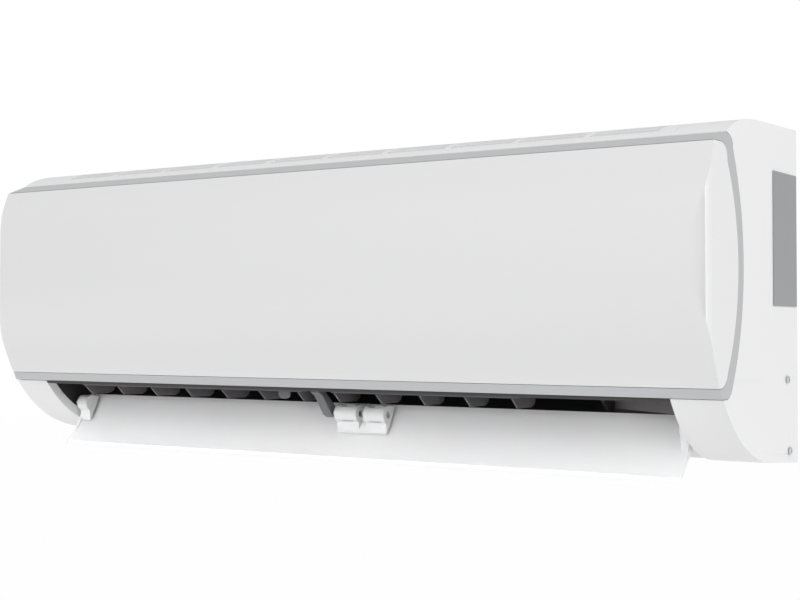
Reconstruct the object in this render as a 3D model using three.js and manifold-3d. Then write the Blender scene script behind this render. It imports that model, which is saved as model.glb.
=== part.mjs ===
// Wall-mounted indoor unit of a mini split air conditioner, built from its separate pieces.
// Millimetres. X runs along the unit, -Y is the front, +Z is up, and the wall is the plane Y = 0.
// Heights (Z) in the sizes below are measured from the lowest edge of the casing; the whole
// assembly is lowered at the end so that the origin is the centre of the wall plate's back face.

import * as THREE from "three";
import { mergeVertices } from "three/addons/utils/BufferGeometryUtils.js";
import Module from "manifold-3d";

const wasm = await Module();
wasm.setup();

// ---- overall sizes
const HALF_LENGTH = 400; // half the length at the wall
const END_DRAFT = 0.05; // each end wall leans inwards by this share of the depth
const CASING_BACK = -2; // rear rim of the casing, just off the wall
const CASING_TOP = 289.4;
const DATUM_HEIGHT = 150; // height of the origin above the casing's lowest edge
const WALL = 2.5; // wall of the white mouldings
const CHASSIS_HALF = HALF_LENGTH - WALL - 1.5;
const BEYOND = 450; // past either end of the unit, for bars that are trimmed afterwards
const GAP = 0.4; // clearance between neighbouring pieces
const SEAT = 0.3; // gap between a piece and what it rests on
const CORNER_RADIUS = 15; // vertical edges at the two front corners

// ---- casing side outline
const UNDERSIDE_FRONT = [-74, 5.5];
const LOWER_CURVE_CONTROL = [-134, 13.5];
const LIP_FRONT = [-169, 60.5];
const LIP_HEIGHT = 0.8;
const SHOULDER_BACK = [-92, 287];
const SHOULDER_CONTROL = [-138, 286];
const SHOULDER_FRONT = [-160.8, 270.4];

// ---- front panel
const BELLY_RADIUS = 205; // upright curve of the panel
const BELLY_FRONT = -204.5; // foremost point of the panel
const BELLY_CENTRE = [BELLY_FRONT + BELLY_RADIUS, 174];
const SEAM_RADIUS = 205; // curve where panel frame and casing meet at the ends
const SEAM_DEEPEST = -126.5; // where the seam comes nearest to the wall
const SEAM_CENTRE = [SEAM_DEEPEST - SEAM_RADIUS, 167];
const SEAM_HEIGHTS = [72, 258]; // between its round lower and upper corners
const SEAM_FOOT = [-163.2, -155.6]; // start and corner of its round foot
const SEAM_TOP_CORNER = [-146.6, 267.5];
const WINDOW_HALF = HALF_LENGTH - 28; // opening behind the panel
const END_WIDTH_FROM = HALF_LENGTH - 26; // beyond this the frame fills the seam's upper corner
const FRAME_INNER_RADIUS = 164.7; // inner edge of the silver frame at the ends
const FRAME_INNER_CENTRE = [-302, 165.5];
const FRAME_TOP_HEIGHT = 261; // upper edge of the white panel
const FRAME_BOTTOM_HEIGHT = 70; // lower edge of the white panel
const PANEL_BOTTOM_HEIGHT = 61.8;
const PANEL_HINGE = [-166, 261.5];
const PANEL_ROLL_RADIUS = 9.2; // how far the panel's top edge reaches from its hinge
const HINGE_PIN_RADIUS = 1.5;
const HINGE_EAR_X = HALF_LENGTH - 34;
const HINGE_EAR_WIDTH = 4;

// ---- outlet
const OUTLET_HALF = HALF_LENGTH - 52.5;
const FLANGE_DEPTH = 9; // rim round each end of the outlet
const FLANGE_WALL = 2.5;
const DUCT_WALL = 2.6;
const DUCT_TOP = 63; // underside of the duct's roof
const DUCT_FLOOR_FRONT = [-101.5, 28];
const DUCT_FLOOR_BACK = [-90, 36];
const FUNNEL_BACK_X = 262; // the right end of the duct narrows to this
const TRAY_FRONT = -167.6;
const TRAY_HEIGHT = 94.5;

// ---- flap
const FLAP_PIVOT = [-121, 36];
const FLAP_OPEN_ANGLE = 90; // degrees that the flap is open
const FLAP_HALF = OUTLET_HALF - 1.9;
const FLAP_THICKNESS = 2.6;
const FLAP_FRONT = [-163, 56.2]; // closed position of its front edge
const FLAP_BACK = [-113, 18.4]; // closed position of its rear edge
const FLAP_CONTROL = [-142.5, 28.5];
const PIVOT_RADIUS = 3;
const PIVOT_CLEARANCE = 0.45;
const LUG_RADIUS = 6;
const BUSH_X = [-343, -329];
const CLIP_X = [[-3, 22], [30, 53]];
const ARM_X = [-18, -8];

// ---- vanes
const VANE_PITCH = 46.5;
const LEFT_VANES = 7;
const LEFT_VANE_START = -309;
const RIGHT_VANES = 5;
const RIGHT_VANE_START = 12;
const VANE_THICKNESS = 1.6;
const VANE_AXIS_Y = -130;
const CRANK = 16; // from a vane's pivot to its link pin
const VANE_PIN_RADIUS = 1.8;
const LINK_PIN_RADIUS = 1.3;
const LINK_CLEARANCE = 0.6;
const LINK_BOTTOM = 56.6;
const LINK_HEIGHT = 3;
const LINK_WIDTH = 8.4;
const LINK_OVERHANG = 4;
const VANE_BOTTOM = 47.5;
const TAB_X = -47;
const TAB_WIDTH = 13;
const TAB_BOTTOM = 49.5;

// ---- fan
const FAN_CENTRE = [-82, 112];
const FAN_RADIUS = 46;
const FAN_INNER_RADIUS = 35;
const FAN_X = [-338, 252];
const FAN_BLADES = 16;
const FAN_RINGS = 4;
const FAN_RING_WIDTH = 3;
const BLADE_THICKNESS = 1.4;
const SHAFT_RADIUS = 4;
const LEFT_WALL_X = -351; // end wall of the fan bay
const RIGHT_WALL_X = 262;
const BEARING_RADIUS = 15;
const MOTOR_X = [270, 330];
const MOTOR_RADIUS = 40;
const CRADLE_WIDTH = 8;
const STRAP_THICKNESS = 3.4;

// ---- coil
const COIL_X = [-326, 238];
const COIL_THICKNESS = 24;
const COIL_PLATE = 1.6;
const BEND_RADIUS = 10.5;
const TUBE_RADIUS = 3.5;
const GAS_PIPE_RADIUS = 4.8;
const LIQUID_PIPE_RADIUS = 3.2;
const GAS_PIPE_START = [-44, 190]; // where each pipe leaves the coil's right end
const LIQUID_PIPE_START = [-58, 190];
const PIPE_END_X = -120;
const PIPE_DROP_X = 292;
const PIPE_Y = -27;
const GAS_PIPE_HEIGHT = 31;
const LIQUID_PIPE_HEIGHT = 14;

// ---- control box
const BOX_X = [338, 384];
const BOX_Y = [-117, -44];
const BOX_Z = [80, 236];
const BOX_WALL = 2;

// ---- wall plate
const PLATE_HALF = 290;
const PLATE_Z = [66, 246];
const PLATE_THICKNESS = 1.5;
const PLATE_RIB_DEPTH = 8;

// ---- finishes
const finish = (color, roughness, metalness = 0) =>
  new THREE.MeshStandardMaterial({ color, roughness, metalness });
const FINISH = {
  casing: finish(0xf1f1f2, 0.4),
  panel: finish(0xf4f4f5, 0.18),
  frame: finish(0xb9bbbe, 0.35, 0.3),
  duct: finish(0x37383c, 0.5),
  vane: finish(0x3f4045, 0.5),
  natural: finish(0xe9ebea, 0.3),
  steel: finish(0xb4b8bc, 0.35, 0.9),
  fins: finish(0xc6cbd0, 0.4, 0.8),
  copper: finish(0xb8744a, 0.35, 0.9),
  brass: finish(0xc2a45c, 0.35, 0.9),
  rubber: finish(0x222222, 0.8),
  board: finish(0x2f6b45, 0.5),
  motor: finish(0xd8d9d6, 0.5),
  fan: finish(0x55585e, 0.5),
  filter: finish(0x8f9aa6, 0.6),
  plate: finish(0xc9cbcd, 0.4, 0.5),
};

// ======== shape helpers

// A closed three.js geometry as a manifold solid.
function solid(geometry) {
  const bare = geometry.clone();
  bare.deleteAttribute("normal");
  bare.deleteAttribute("uv");
  const merged = mergeVertices(bare, 1e-3);
  return new wasm.Manifold(
    new wasm.Mesh({
      numProp: 3,
      vertProperties: new Float32Array(merged.attributes.position.array),
      triVerts: new Uint32Array(merged.index.array),
    }),
  );
}

const join = (...parts) => parts.reduce((all, part) => all.add(part));
const cut = (body, ...tools) => tools.reduce((rest, tool) => rest.subtract(tool), body);

// A manifold solid back as a three.js geometry.
function geometryOf(body) {
  const mesh = body.getMesh();
  const geometry = new THREE.BufferGeometry();
  const count = mesh.numProp;
  const position = new Float32Array((mesh.vertProperties.length / count) * 3);
  for (let i = 0; i < position.length / 3; i++)
    for (let k = 0; k < 3; k++) position[3 * i + k] = mesh.vertProperties[count * i + k];
  geometry.setAttribute("position", new THREE.BufferAttribute(position, 3));
  geometry.setIndex(new THREE.BufferAttribute(new Uint32Array(mesh.triVerts), 1));
  geometry.computeVertexNormals();
  return geometry;
}

const SIDE_BASIS = new THREE.Matrix4().makeBasis(
  new THREE.Vector3(0, 1, 0),
  new THREE.Vector3(0, 0, 1),
  new THREE.Vector3(1, 0, 0),
);
const FRONT_BASIS = new THREE.Matrix4().makeBasis(
  new THREE.Vector3(1, 0, 0),
  new THREE.Vector3(0, 0, 1),
  new THREE.Vector3(0, -1, 0),
);

// The outline as a shape whose points run counter-clockwise.
function shapeOf(outline) {
  const points = outline.map(([a, b]) => new THREE.Vector2(a, b));
  if (THREE.ShapeUtils.area(points) < 0) points.reverse();
  return new THREE.Shape(points);
}

// An outline in (Y, Z) carried along X from x0 to x1.
function sideBar(outline, x0, x1) {
  const depth = x1 - x0;
  const bar = new THREE.ExtrudeGeometry(shapeOf(outline), { depth, bevelEnabled: false });
  return solid(bar.translate(0, 0, x0).applyMatrix4(SIDE_BASIS));
}

// An outline in (X, Z) carried along Y from yBack forwards to yFront.
function frontBar(outline, yBack, yFront) {
  const depth = yBack - yFront;
  const bar = new THREE.ExtrudeGeometry(shapeOf(outline), { depth, bevelEnabled: false });
  return solid(bar.translate(0, 0, -yBack).applyMatrix4(FRONT_BASIS));
}

// An outline in (X, Y) carried upwards from z0 to z1.
function planBar(outline, z0, z1) {
  const bar = new THREE.ExtrudeGeometry(shapeOf(outline), { depth: z1 - z0, bevelEnabled: false });
  return solid(bar.translate(0, 0, z0));
}

// A box between two limits on each axis.
function block([x0, x1], [y0, y1], [z0, z1]) {
  const box = new THREE.BoxGeometry(x1 - x0, y1 - y0, z1 - z0);
  return solid(box.translate((x0 + x1) / 2, (y0 + y1) / 2, (z0 + z1) / 2));
}

// A round bar along X about the point (y, z).
function rod([y, z], radius, x0, x1, sides = 16) {
  const bar = new THREE.CylinderGeometry(radius, radius, x1 - x0, sides);
  return solid(bar.rotateZ(Math.PI / 2).translate((x0 + x1) / 2, y, z));
}

// An upright round bar about the point (x, y).
function post([x, y], radius, z0, z1, sides = 12) {
  const bar = new THREE.CylinderGeometry(radius, radius, z1 - z0, sides);
  return solid(bar.rotateX(Math.PI / 2).translate(x, y, (z0 + z1) / 2));
}

// Points of an arc in the (Y, Z) plane, angles in degrees from +Y towards +Z.
function arc([cy, cz], radius, from, to, steps) {
  return Array.from({ length: steps + 1 }, (_, i) => {
    const angle = THREE.MathUtils.degToRad(from + ((to - from) * i) / steps);
    return [cy + radius * Math.cos(angle), cz + radius * Math.sin(angle)];
  });
}

// Points of a quadratic curve between two points.
function curve(start, control, end, steps) {
  const path = new THREE.QuadraticBezierCurve(
    new THREE.Vector2(...start),
    new THREE.Vector2(...control),
    new THREE.Vector2(...end),
  );
  return path.getPoints(steps).map((p) => [p.x, p.y]);
}

// Where a circle about the centre crosses a height, on its -Y or +Y side.
function onCircle([cy, cz], radius, height, side) {
  return cy + side * Math.sqrt(radius ** 2 - (height - cz) ** 2);
}

// The arc of such a circle between two heights.
function arcBetween([cy, cz], radius, z0, z1, side, steps) {
  return Array.from({ length: steps + 1 }, (_, i) => {
    const z = z0 + ((z1 - z0) * i) / steps;
    return [onCircle([cy, cz], radius, z, side), z];
  });
}

// An open path moved sideways by a distance, to the left of its direction.
function offsetPath(path, distance) {
  const points = path.map(([a, b]) => new THREE.Vector2(a, b));
  const last = points.length - 1;
  return points.map((point, i) => {
    const before = point.clone().sub(points[Math.max(0, i - 1)]).normalize();
    const after = points[Math.min(last, i + 1)].clone().sub(point).normalize();
    const run = i === 0 ? after : i === last ? before : before.clone().add(after);
    const across = new THREE.Vector2(-run.y, run.x).normalize();
    const edge = i === 0 ? after : before;
    const share = Math.max(0.5, across.dot(new THREE.Vector2(-edge.y, edge.x)));
    return [point.x + (distance * across.x) / share, point.y + (distance * across.y) / share];
  });
}

// A strip of even thickness along an open path.
function ribbon(path, thickness) {
  return [...offsetPath(path, thickness / 2), ...offsetPath(path, -thickness / 2).reverse()];
}

// A tube of the given radius along a list of points, with round bends.
function tube(points, radius, sides, steps) {
  const path = new THREE.CatmullRomCurve3(
    points.map((p) => new THREE.Vector3(...p)),
    false,
    "centripetal",
  );
  const section = Array.from({ length: sides }, (_, i) => {
    const angle = (2 * Math.PI * i) / sides;
    return new THREE.Vector2(radius * Math.cos(angle), radius * Math.sin(angle));
  });
  const options = { steps, extrudePath: path, bevelEnabled: false };
  return solid(new THREE.ExtrudeGeometry(new THREE.Shape(section), options));
}

const unit = new THREE.Group();
unit.position.z = -DATUM_HEIGHT;

// Adds a named piece to the unit.
function piece(name, body, material) {
  const mesh = new THREE.Mesh(geometryOf(body), material);
  mesh.name = name;
  unit.add(mesh);
}

// ======== outlines shared by the white mouldings

// Half the length of the unit at a depth, less an inset.
const endAt = (y, less) => HALF_LENGTH + END_DRAFT * y - less;

// Plan of everything outside: two leaning end walls with rounded front corners.
function planOutline(less) {
  const front = BELLY_CENTRE[0] - BELLY_RADIUS + less;
  const radius = CORNER_RADIUS - less;
  const side = endAt(front, less);
  const corner = (sign) =>
    [0, 30, 60, 90].map((degrees) => {
      const angle = THREE.MathUtils.degToRad(degrees);
      return [
        sign * (side - radius + radius * Math.cos(angle)),
        front + radius - radius * Math.sin(angle),
      ];
    });
  return [
    [endAt(0, less), 0],
    ...corner(1),
    ...corner(-1).reverse(),
    [-endAt(0, less), 0],
  ];
}

// Front boundary of the casing from its lip up to its shoulder; the panel frame's boundary is
// the same line moved forwards by a gap.
function seamLine(gap) {
  const radius = SEAM_RADIUS - gap;
  const foot = gap ? PANEL_BOTTOM_HEIGHT : LIP_FRONT[1] + LIP_HEIGHT;
  const [low, high] = SEAM_HEIGHTS.map((z) => [onCircle(SEAM_CENTRE, radius, z, 1), z]);
  const corner = SEAM_TOP_CORNER.map((value) => value - 1.5 * gap);
  const roll = arc(PANEL_HINGE, PANEL_ROLL_RADIUS + (gap ? 0 : 0.6), 20, 58, 1).pop();
  return [
    ...curve([SEAM_FOOT[0], foot], [SEAM_FOOT[1] - 1.3 * gap, foot], low, 4),
    ...arcBetween(SEAM_CENTRE, radius, low[1] + 4, high[1] - 4, 1, 8),
    ...curve(high, corner, roll, 5),
  ];
}

function casingOutline() {
  return [
    [CASING_BACK, 0],
    ...curve(UNDERSIDE_FRONT, LOWER_CURVE_CONTROL, LIP_FRONT, 8),
    [LIP_FRONT[0], LIP_FRONT[1] + LIP_HEIGHT],
    ...seamLine(0),
    ...curve(SHOULDER_FRONT, SHOULDER_CONTROL, SHOULDER_BACK, 6),
    [CASING_BACK, CASING_TOP],
  ];
}

// Inside of the casing's wall.
function casingHollow() {
  const lower = offsetPath(curve(UNDERSIDE_FRONT, LOWER_CURVE_CONTROL, LIP_FRONT, 8), -WALL);
  const lipInside = LIP_FRONT[1] + LIP_HEIGHT - WALL;
  const shoulder = offsetPath(curve(SHOULDER_FRONT, SHOULDER_CONTROL, SHOULDER_BACK, 6), -WALL);
  return [
    [CASING_BACK, WALL],
    ...lower.filter(([, z]) => z < lipInside - 4),
    [LIP_FRONT[0] + 5.5, lipInside],
    [onCircle(SEAM_CENTRE, SEAM_RADIUS + WALL, 66, 1), lipInside],
    ...arcBetween(SEAM_CENTRE, SEAM_RADIUS + WALL, 66, 256, 1, 8),
    [SEAM_TOP_CORNER[0] + 2.8, 264],
    [SEAM_TOP_CORNER[0] + 0.6, 270.5],
    ...shoulder.filter(([y]) => y > SEAM_TOP_CORNER[0] - 2),
    [CASING_BACK, CASING_TOP - WALL],
  ];
}

// Inside of the panel's wall, open towards the casing.
function bellyHollow() {
  const top = FRAME_TOP_HEIGHT - 1.8;
  return [
    [-100, PANEL_BOTTOM_HEIGHT + WALL],
    ...arcBetween(BELLY_CENTRE, BELLY_RADIUS - WALL, PANEL_BOTTOM_HEIGHT + WALL, top, -1, 12),
    [-162, FRAME_TOP_HEIGHT + 5.3],
    [-100, FRAME_TOP_HEIGHT + 5.3],
  ];
}

function bellyOutline() {
  const belly = arcBetween(BELLY_CENTRE, BELLY_RADIUS, FRAME_TOP_HEIGHT, FRAME_BOTTOM_HEIGHT, -1, 12);
  const seam = seamLine(GAP);
  const top = arc(PANEL_HINGE, PANEL_ROLL_RADIUS, 58, 63, 1).pop();
  return [
    ...seam,
    top,
    ...belly,
    [-172, PANEL_BOTTOM_HEIGHT],
  ];
}

const planOuter = planBar(planOutline(0), -50, 350);
const planInner = planBar(planOutline(WALL), -50, 350);

// Region in front of the silver frame's inner edge.
function panelZone(gap) {
  const back = arcBetween(FRAME_INNER_CENTRE, FRAME_INNER_RADIUS - gap, 80, 250, 1, 8);
  const outline = [
    [-230, FRAME_BOTTOM_HEIGHT + gap],
    [-166, FRAME_BOTTOM_HEIGHT + gap],
    ...back,
    [-170, FRAME_TOP_HEIGHT - gap],
    [-230, FRAME_TOP_HEIGHT - gap],
  ];
  return sideBar(outline, -BEYOND, BEYOND);
}

// ======== wall plate, rear chassis

function mountingPlate() {
  const sheet = block([-PLATE_HALF, PLATE_HALF], [-PLATE_THICKNESS, 0], PLATE_Z);
  const rib = (z) =>
    block([-PLATE_HALF, PLATE_HALF], [-PLATE_RIB_DEPTH, -0.5], [z, z + PLATE_THICKNESS]);
  const hooks = [-220, 0, 220].map((x) =>
    sideBar(
      [[-8, 246], [-8, 259.2], [-11.6, 259.2], [-11.6, 244.5], [-1, 244.5], [-1, 246]],
      x - 20,
      x + 20,
    ),
  );
  const slots = [-250, -180, -110, -40, 40, 110, 180, 250].flatMap((x) =>
    [90, 222].map((z) => block([x - 9, x + 9], [-5, 5], [z - 3, z + 3])),
  );
  const centre = block([-120, 120], [-5, 5], [100, 118]);
  return cut(join(sheet, rib(PLATE_Z[0]), rib(PLATE_Z[1] - PLATE_THICKNESS), ...hooks), ...slots, centre);
}

function rearChassis() {
  const backWall = [[-13.5, 262], [-13.5, 165]];
  const scroll = [
    ...backWall,
    [-40, 152],
    ...arc(FAN_CENTRE, 51.5, 20, -10, 3),
    ...arc(FAN_CENTRE, 57, -35, -60, 2),
    [-71, 47.5],
    [DUCT_FLOOR_BACK[0] + 1.5, DUCT_FLOOR_BACK[1]],
  ];
  const bay = sideBar(ribbon(scroll, 3), LEFT_WALL_X, RIGHT_WALL_X + 3);
  const underside = [
    [-101.4, 25.4],
    [-105.8, 19.4],
    [-92, 12],
    [-74, 8.4],
    [CASING_BACK - 2, 3],
  ];
  const floor = sideBar(ribbon(underside, 3), -OUTLET_HALF + GAP, OUTLET_HALF - GAP);
  const web = [[-107, 21], [-100, 27.2], [-88, 34.4], [-71, 45], [-68, 42], [-92, 13], [-108, 19.5]];
  const webs = [-345, -170, 0, 170, 258].map((x) => sideBar(web, x - 1.5, x + 1.5));
  const farWall = block([RIGHT_WALL_X, CHASSIS_HALF], [-15, -12], [60, 262]);
  const nearWall = block([-CHASSIS_HALF, LEFT_WALL_X + 1], [-15, -12], [60, 262]);
  const footRight = block([255, OUTLET_HALF - GAP], [-15, -12], [3, 62]);
  const flange = block([-CHASSIS_HALF, CHASSIS_HALF], [-15, -4], [259.5, 262]);
  const endWall = (x) =>
    sideBar(
      [[-14, 261], [-14, 166], [-40, 151], [-33, 128], [-31, 105], [-40, 75], [-58, 56],
        [-88, 37], [-128, 70], [-128, 158], [-93, 223], [-80, 240], [-60, 261]],
      x,
      x + 3,
    );
  const walls = [LEFT_WALL_X, RIGHT_WALL_X].map(endWall);
  const bearingSeat = rod(FAN_CENTRE, BEARING_RADIUS + 0.2, LEFT_WALL_X - 1, LEFT_WALL_X + 4, 24);
  const shaftHole = rod(FAN_CENTRE, 12, RIGHT_WALL_X - 1, RIGHT_WALL_X + 4, 20);
  const cradle = [MOTOR_X[0] + 4, MOTOR_X[1] - 4 - CRADLE_WIDTH].map((x) =>
    block([x, x + CRADLE_WIDTH], [-127, -13], [66, FAN_CENTRE[1] - 4]),
  );
  const shelf = block([RIGHT_WALL_X, 336], [-127, -36], [66, 69]);
  const motorSpace = rod(FAN_CENTRE, MOTOR_RADIUS + SEAT, RIGHT_WALL_X + 4, 340, 32);
  const pipeSpace = block([266, 340], [-35, -15.5], [20, 200]);
  const motorSide = cut(join(...cradle, shelf), motorSpace, pipeSpace);
  const boxShelf = block([336, 384], [BOX_Y[0], -13], [BOX_Z[0] - SEAT - 3, BOX_Z[0] - SEAT]);
  const shell = join(bay, floor, ...webs, farWall, nearWall, footRight, flange, ...walls, boxShelf);
  const pipeHoles = [
    rod(GAS_PIPE_START, GAS_PIPE_RADIUS + 1.6, RIGHT_WALL_X - 1, RIGHT_WALL_X + 4, 16),
    rod(LIQUID_PIPE_START, LIQUID_PIPE_RADIUS + 1.6, RIGHT_WALL_X - 1, RIGHT_WALL_X + 4, 16),
  ];
  const body = cut(join(shell, motorSide), bearingSeat, shaftHole, ...pipeHoles);
  return body.intersect(block([-CHASSIS_HALF, CHASSIS_HALF], [-200, -1], [0, 264]));
}

// ======== white casing, top grille, bare plate

function casingShell() {
  const outer = sideBar(casingOutline(), -BEYOND, BEYOND).intersect(planOuter);
  const inner = sideBar(casingHollow(), -BEYOND, BEYOND).intersect(planInner);
  return cut(outer, inner);
}

function outletFlange(side) {
  const edge = curve(UNDERSIDE_FRONT, LOWER_CURVE_CONTROL, LIP_FRONT, 8);
  const band = sideBar([...edge, ...offsetPath(edge, -FLANGE_DEPTH).reverse()], -BEYOND, BEYOND);
  const x = [OUTLET_HALF, OUTLET_HALF + FLANGE_WALL].map((value) => side * value).sort((a, b) => a - b);
  return band.intersect(block(x, [-200, -60], [0, PANEL_BOTTOM_HEIGHT - 1]));
}

function filterRail() {
  const rail = [[-146, 262], [-146, 253], [-157, 243], [-165.3, 243], [-165.3, 249], [-158, 250.5],
    [-150, 256.5]];
  return sideBar(rail, -END_WIDTH_FROM, END_WIDTH_FROM);
}

function hingeEar(side) {
  const x = [HINGE_EAR_X - HINGE_EAR_WIDTH / 2, HINGE_EAR_X + HINGE_EAR_WIDTH / 2];
  const [x0, x1] = x.map((value) => side * value).sort((a, b) => a - b);
  const outline = [[-146, 253], [-157, 243.5], [-168, 258], [-168, 262.2], [-167, 263.2], [-165, 263.2],
    [-163.6, 262.2], [-156, 255]];
  const web = sideBar(outline, x0, x1);
  const pinStart = side * (HINGE_EAR_X - 0.5);
  const pinEnd = side * (HINGE_EAR_X - 8);
  const pin = rod(PANEL_HINGE, HINGE_PIN_RADIUS, Math.min(pinStart, pinEnd), Math.max(pinStart, pinEnd), 12);
  return join(web, pin);
}

function frontCasing() {
  const rearOpening = block([-BEYOND, BEYOND], [-5.5, 10], [-20, 283.5]).intersect(planInner);
  const frontWindow = block([-WINDOW_HALF, WINDOW_HALF], [-190, -100], [LIP_FRONT[1] + 0.9, 252]);
  const outletCut = block([-OUTLET_HALF, OUTLET_HALF], [-220, 10], [-20, 58.6]);
  const underLip = block([-OUTLET_HALF, OUTLET_HALF], [-152, 10], [-20, 70]);
  const grilleCut = block([-OUTLET_HALF, OUTLET_HALF], [-155.5, -34], [262, 300]);
  const endWalls = [[-HALF_LENGTH - 10, 20 - HALF_LENGTH], [HALF_LENGTH - 20, HALF_LENGTH + 10]];
  const screwHoles = endWalls.flatMap((span) =>
    SCREWS.map((centre) => rod(centre, SCREW_HOLE_RADIUS, ...span, 12)),
  );
  const ends = [-1, 1].flatMap((side) => [outletFlange(side), hingeEar(side)]);
  const shell = join(casingShell(), filterRail(), ...ends);
  const openings = [rearOpening, frontWindow.intersect(planInner), outletCut, underLip, grilleCut];
  return cut(shell, ...openings, ...screwHoles);
}

const SCREWS = [[-24, 12], [-29, 73]];
const SCREW_HOLE_RADIUS = 2.1;
const SCREW_SEAT = 0.45; // under a flat head on the leaning end wall

function sideScrew(side, centre) {
  const face = endAt(centre[0], 0);
  const onSide = (from, to) => [side * from, side * to].sort((a, b) => a - b);
  const shank = onSide(face - 9, face + SCREW_SEAT + 0.5);
  const head = onSide(face + SCREW_SEAT, face + SCREW_SEAT + 1.6);
  return join(rod(centre, SCREW_HOLE_RADIUS - 0.4, ...shank, 8), rod(centre, 3.2, ...head, 10));
}

function intakeGrille() {
  const outer = sideBar(casingOutline(), -OUTLET_HALF + GAP, OUTLET_HALF - GAP);
  const inner = sideBar(casingHollow(), -BEYOND, BEYOND);
  const span = block([-BEYOND, BEYOND], [-155.5 + GAP, -34 - GAP], [262, 300]);
  const skin = cut(outer, inner).intersect(span);
  const columns = 10;
  const pitch = (2 * (OUTLET_HALF - 12)) / columns;
  const slots = [];
  for (let i = 0; i < columns; i++)
    for (const [front, back] of [[-151, -145], [-141, -132], [-127, -110], [-104, -76], [-70, -42]]) {
      const left = -OUTLET_HALF + 12 + i * pitch + 3;
      slots.push(block([left, left + pitch - 6], [front, back], [255, 300]));
    }
  return cut(skin, ...slots);
}

function ratingPlate() {
  const less = -0.9;
  const outline = [[-61, 135.5], [-61, 249], [-5, 249], [-5, 135.5]];
  const slice = cut(planBar(planOutline(less), 0, 300), planBar(planOutline(less + 0.5), -10, 310));
  return slice.intersect(sideBar(outline, HALF_LENGTH - 20, HALF_LENGTH + 20));
}

// ======== front panel and its silver frame

function panelShell() {
  const outer = sideBar(bellyOutline(), -BEYOND, BEYOND).intersect(planOuter);
  const inner = sideBar(bellyHollow(), -BEYOND, BEYOND).intersect(planInner);
  const low = [PANEL_BOTTOM_HEIGHT - 5, PANEL_BOTTOM_HEIGHT + 6];
  const underside = block([-WINDOW_HALF, WINDOW_HALF], [-166, -100], low);
  const swing = block([-END_WIDTH_FROM, END_WIDTH_FROM], [-157.5, -100], [257, 275]);
  return cut(outer, inner, underside, swing);
}

function panelEar(side) {
  const centre = HINGE_EAR_X - HINGE_EAR_WIDTH / 2 - 4;
  const [x0, x1] = [centre - 1.5, centre + 1.5].map((value) => side * value).sort((a, b) => a - b);
  const web = sideBar(
    [[-183, 257], [-188, 248], [-180, 246], [-163, 257.5], [-162.4, 261.4], [-163.4, 263.5],
      [-166, 264.2], [-172, 262]],
    x0,
    x1,
  );
  return cut(web, rod(PANEL_HINGE, HINGE_PIN_RADIUS + 0.4, x0 - 1, x1 + 1, 12));
}

function frontPanel() {
  return join(panelShell().intersect(panelZone(0.2)), panelEar(1), panelEar(-1));
}

function panelFrame() {
  return cut(panelShell(), panelZone(-0.2));
}

// ======== filters, display

function airFilter(x0, x1) {
  const radius = BELLY_RADIUS - 20;
  const front = arcBetween(BELLY_CENTRE, radius, TRAY_HEIGHT + SEAT, 241, -1, 6);
  const back = arcBetween(BELLY_CENTRE, radius - 1.8, TRAY_HEIGHT + SEAT, 241, -1, 6);
  const sheet = sideBar([...front, ...back.reverse()], x0, x1);
  const windows = [];
  const columns = 4;
  const pitch = (x1 - x0 - 8) / columns;
  for (let i = 0; i < columns; i++)
    for (const [low, high] of [[101, 141], [146, 189], [194, 235]])
      windows.push(block([x0 + 6 + i * pitch, x0 + 2 + (i + 1) * pitch], [-190, -150], [low, high]));
  return cut(sheet, ...windows);
}

function displayModule() {
  const face = [[TRAY_FRONT - SEAT, 72], [-172.4, 72], [-178, 90], [TRAY_FRONT - SEAT, 90]];
  return sideBar(face, 236, 330);
}

// ======== outlet duct with the condensate tray

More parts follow.
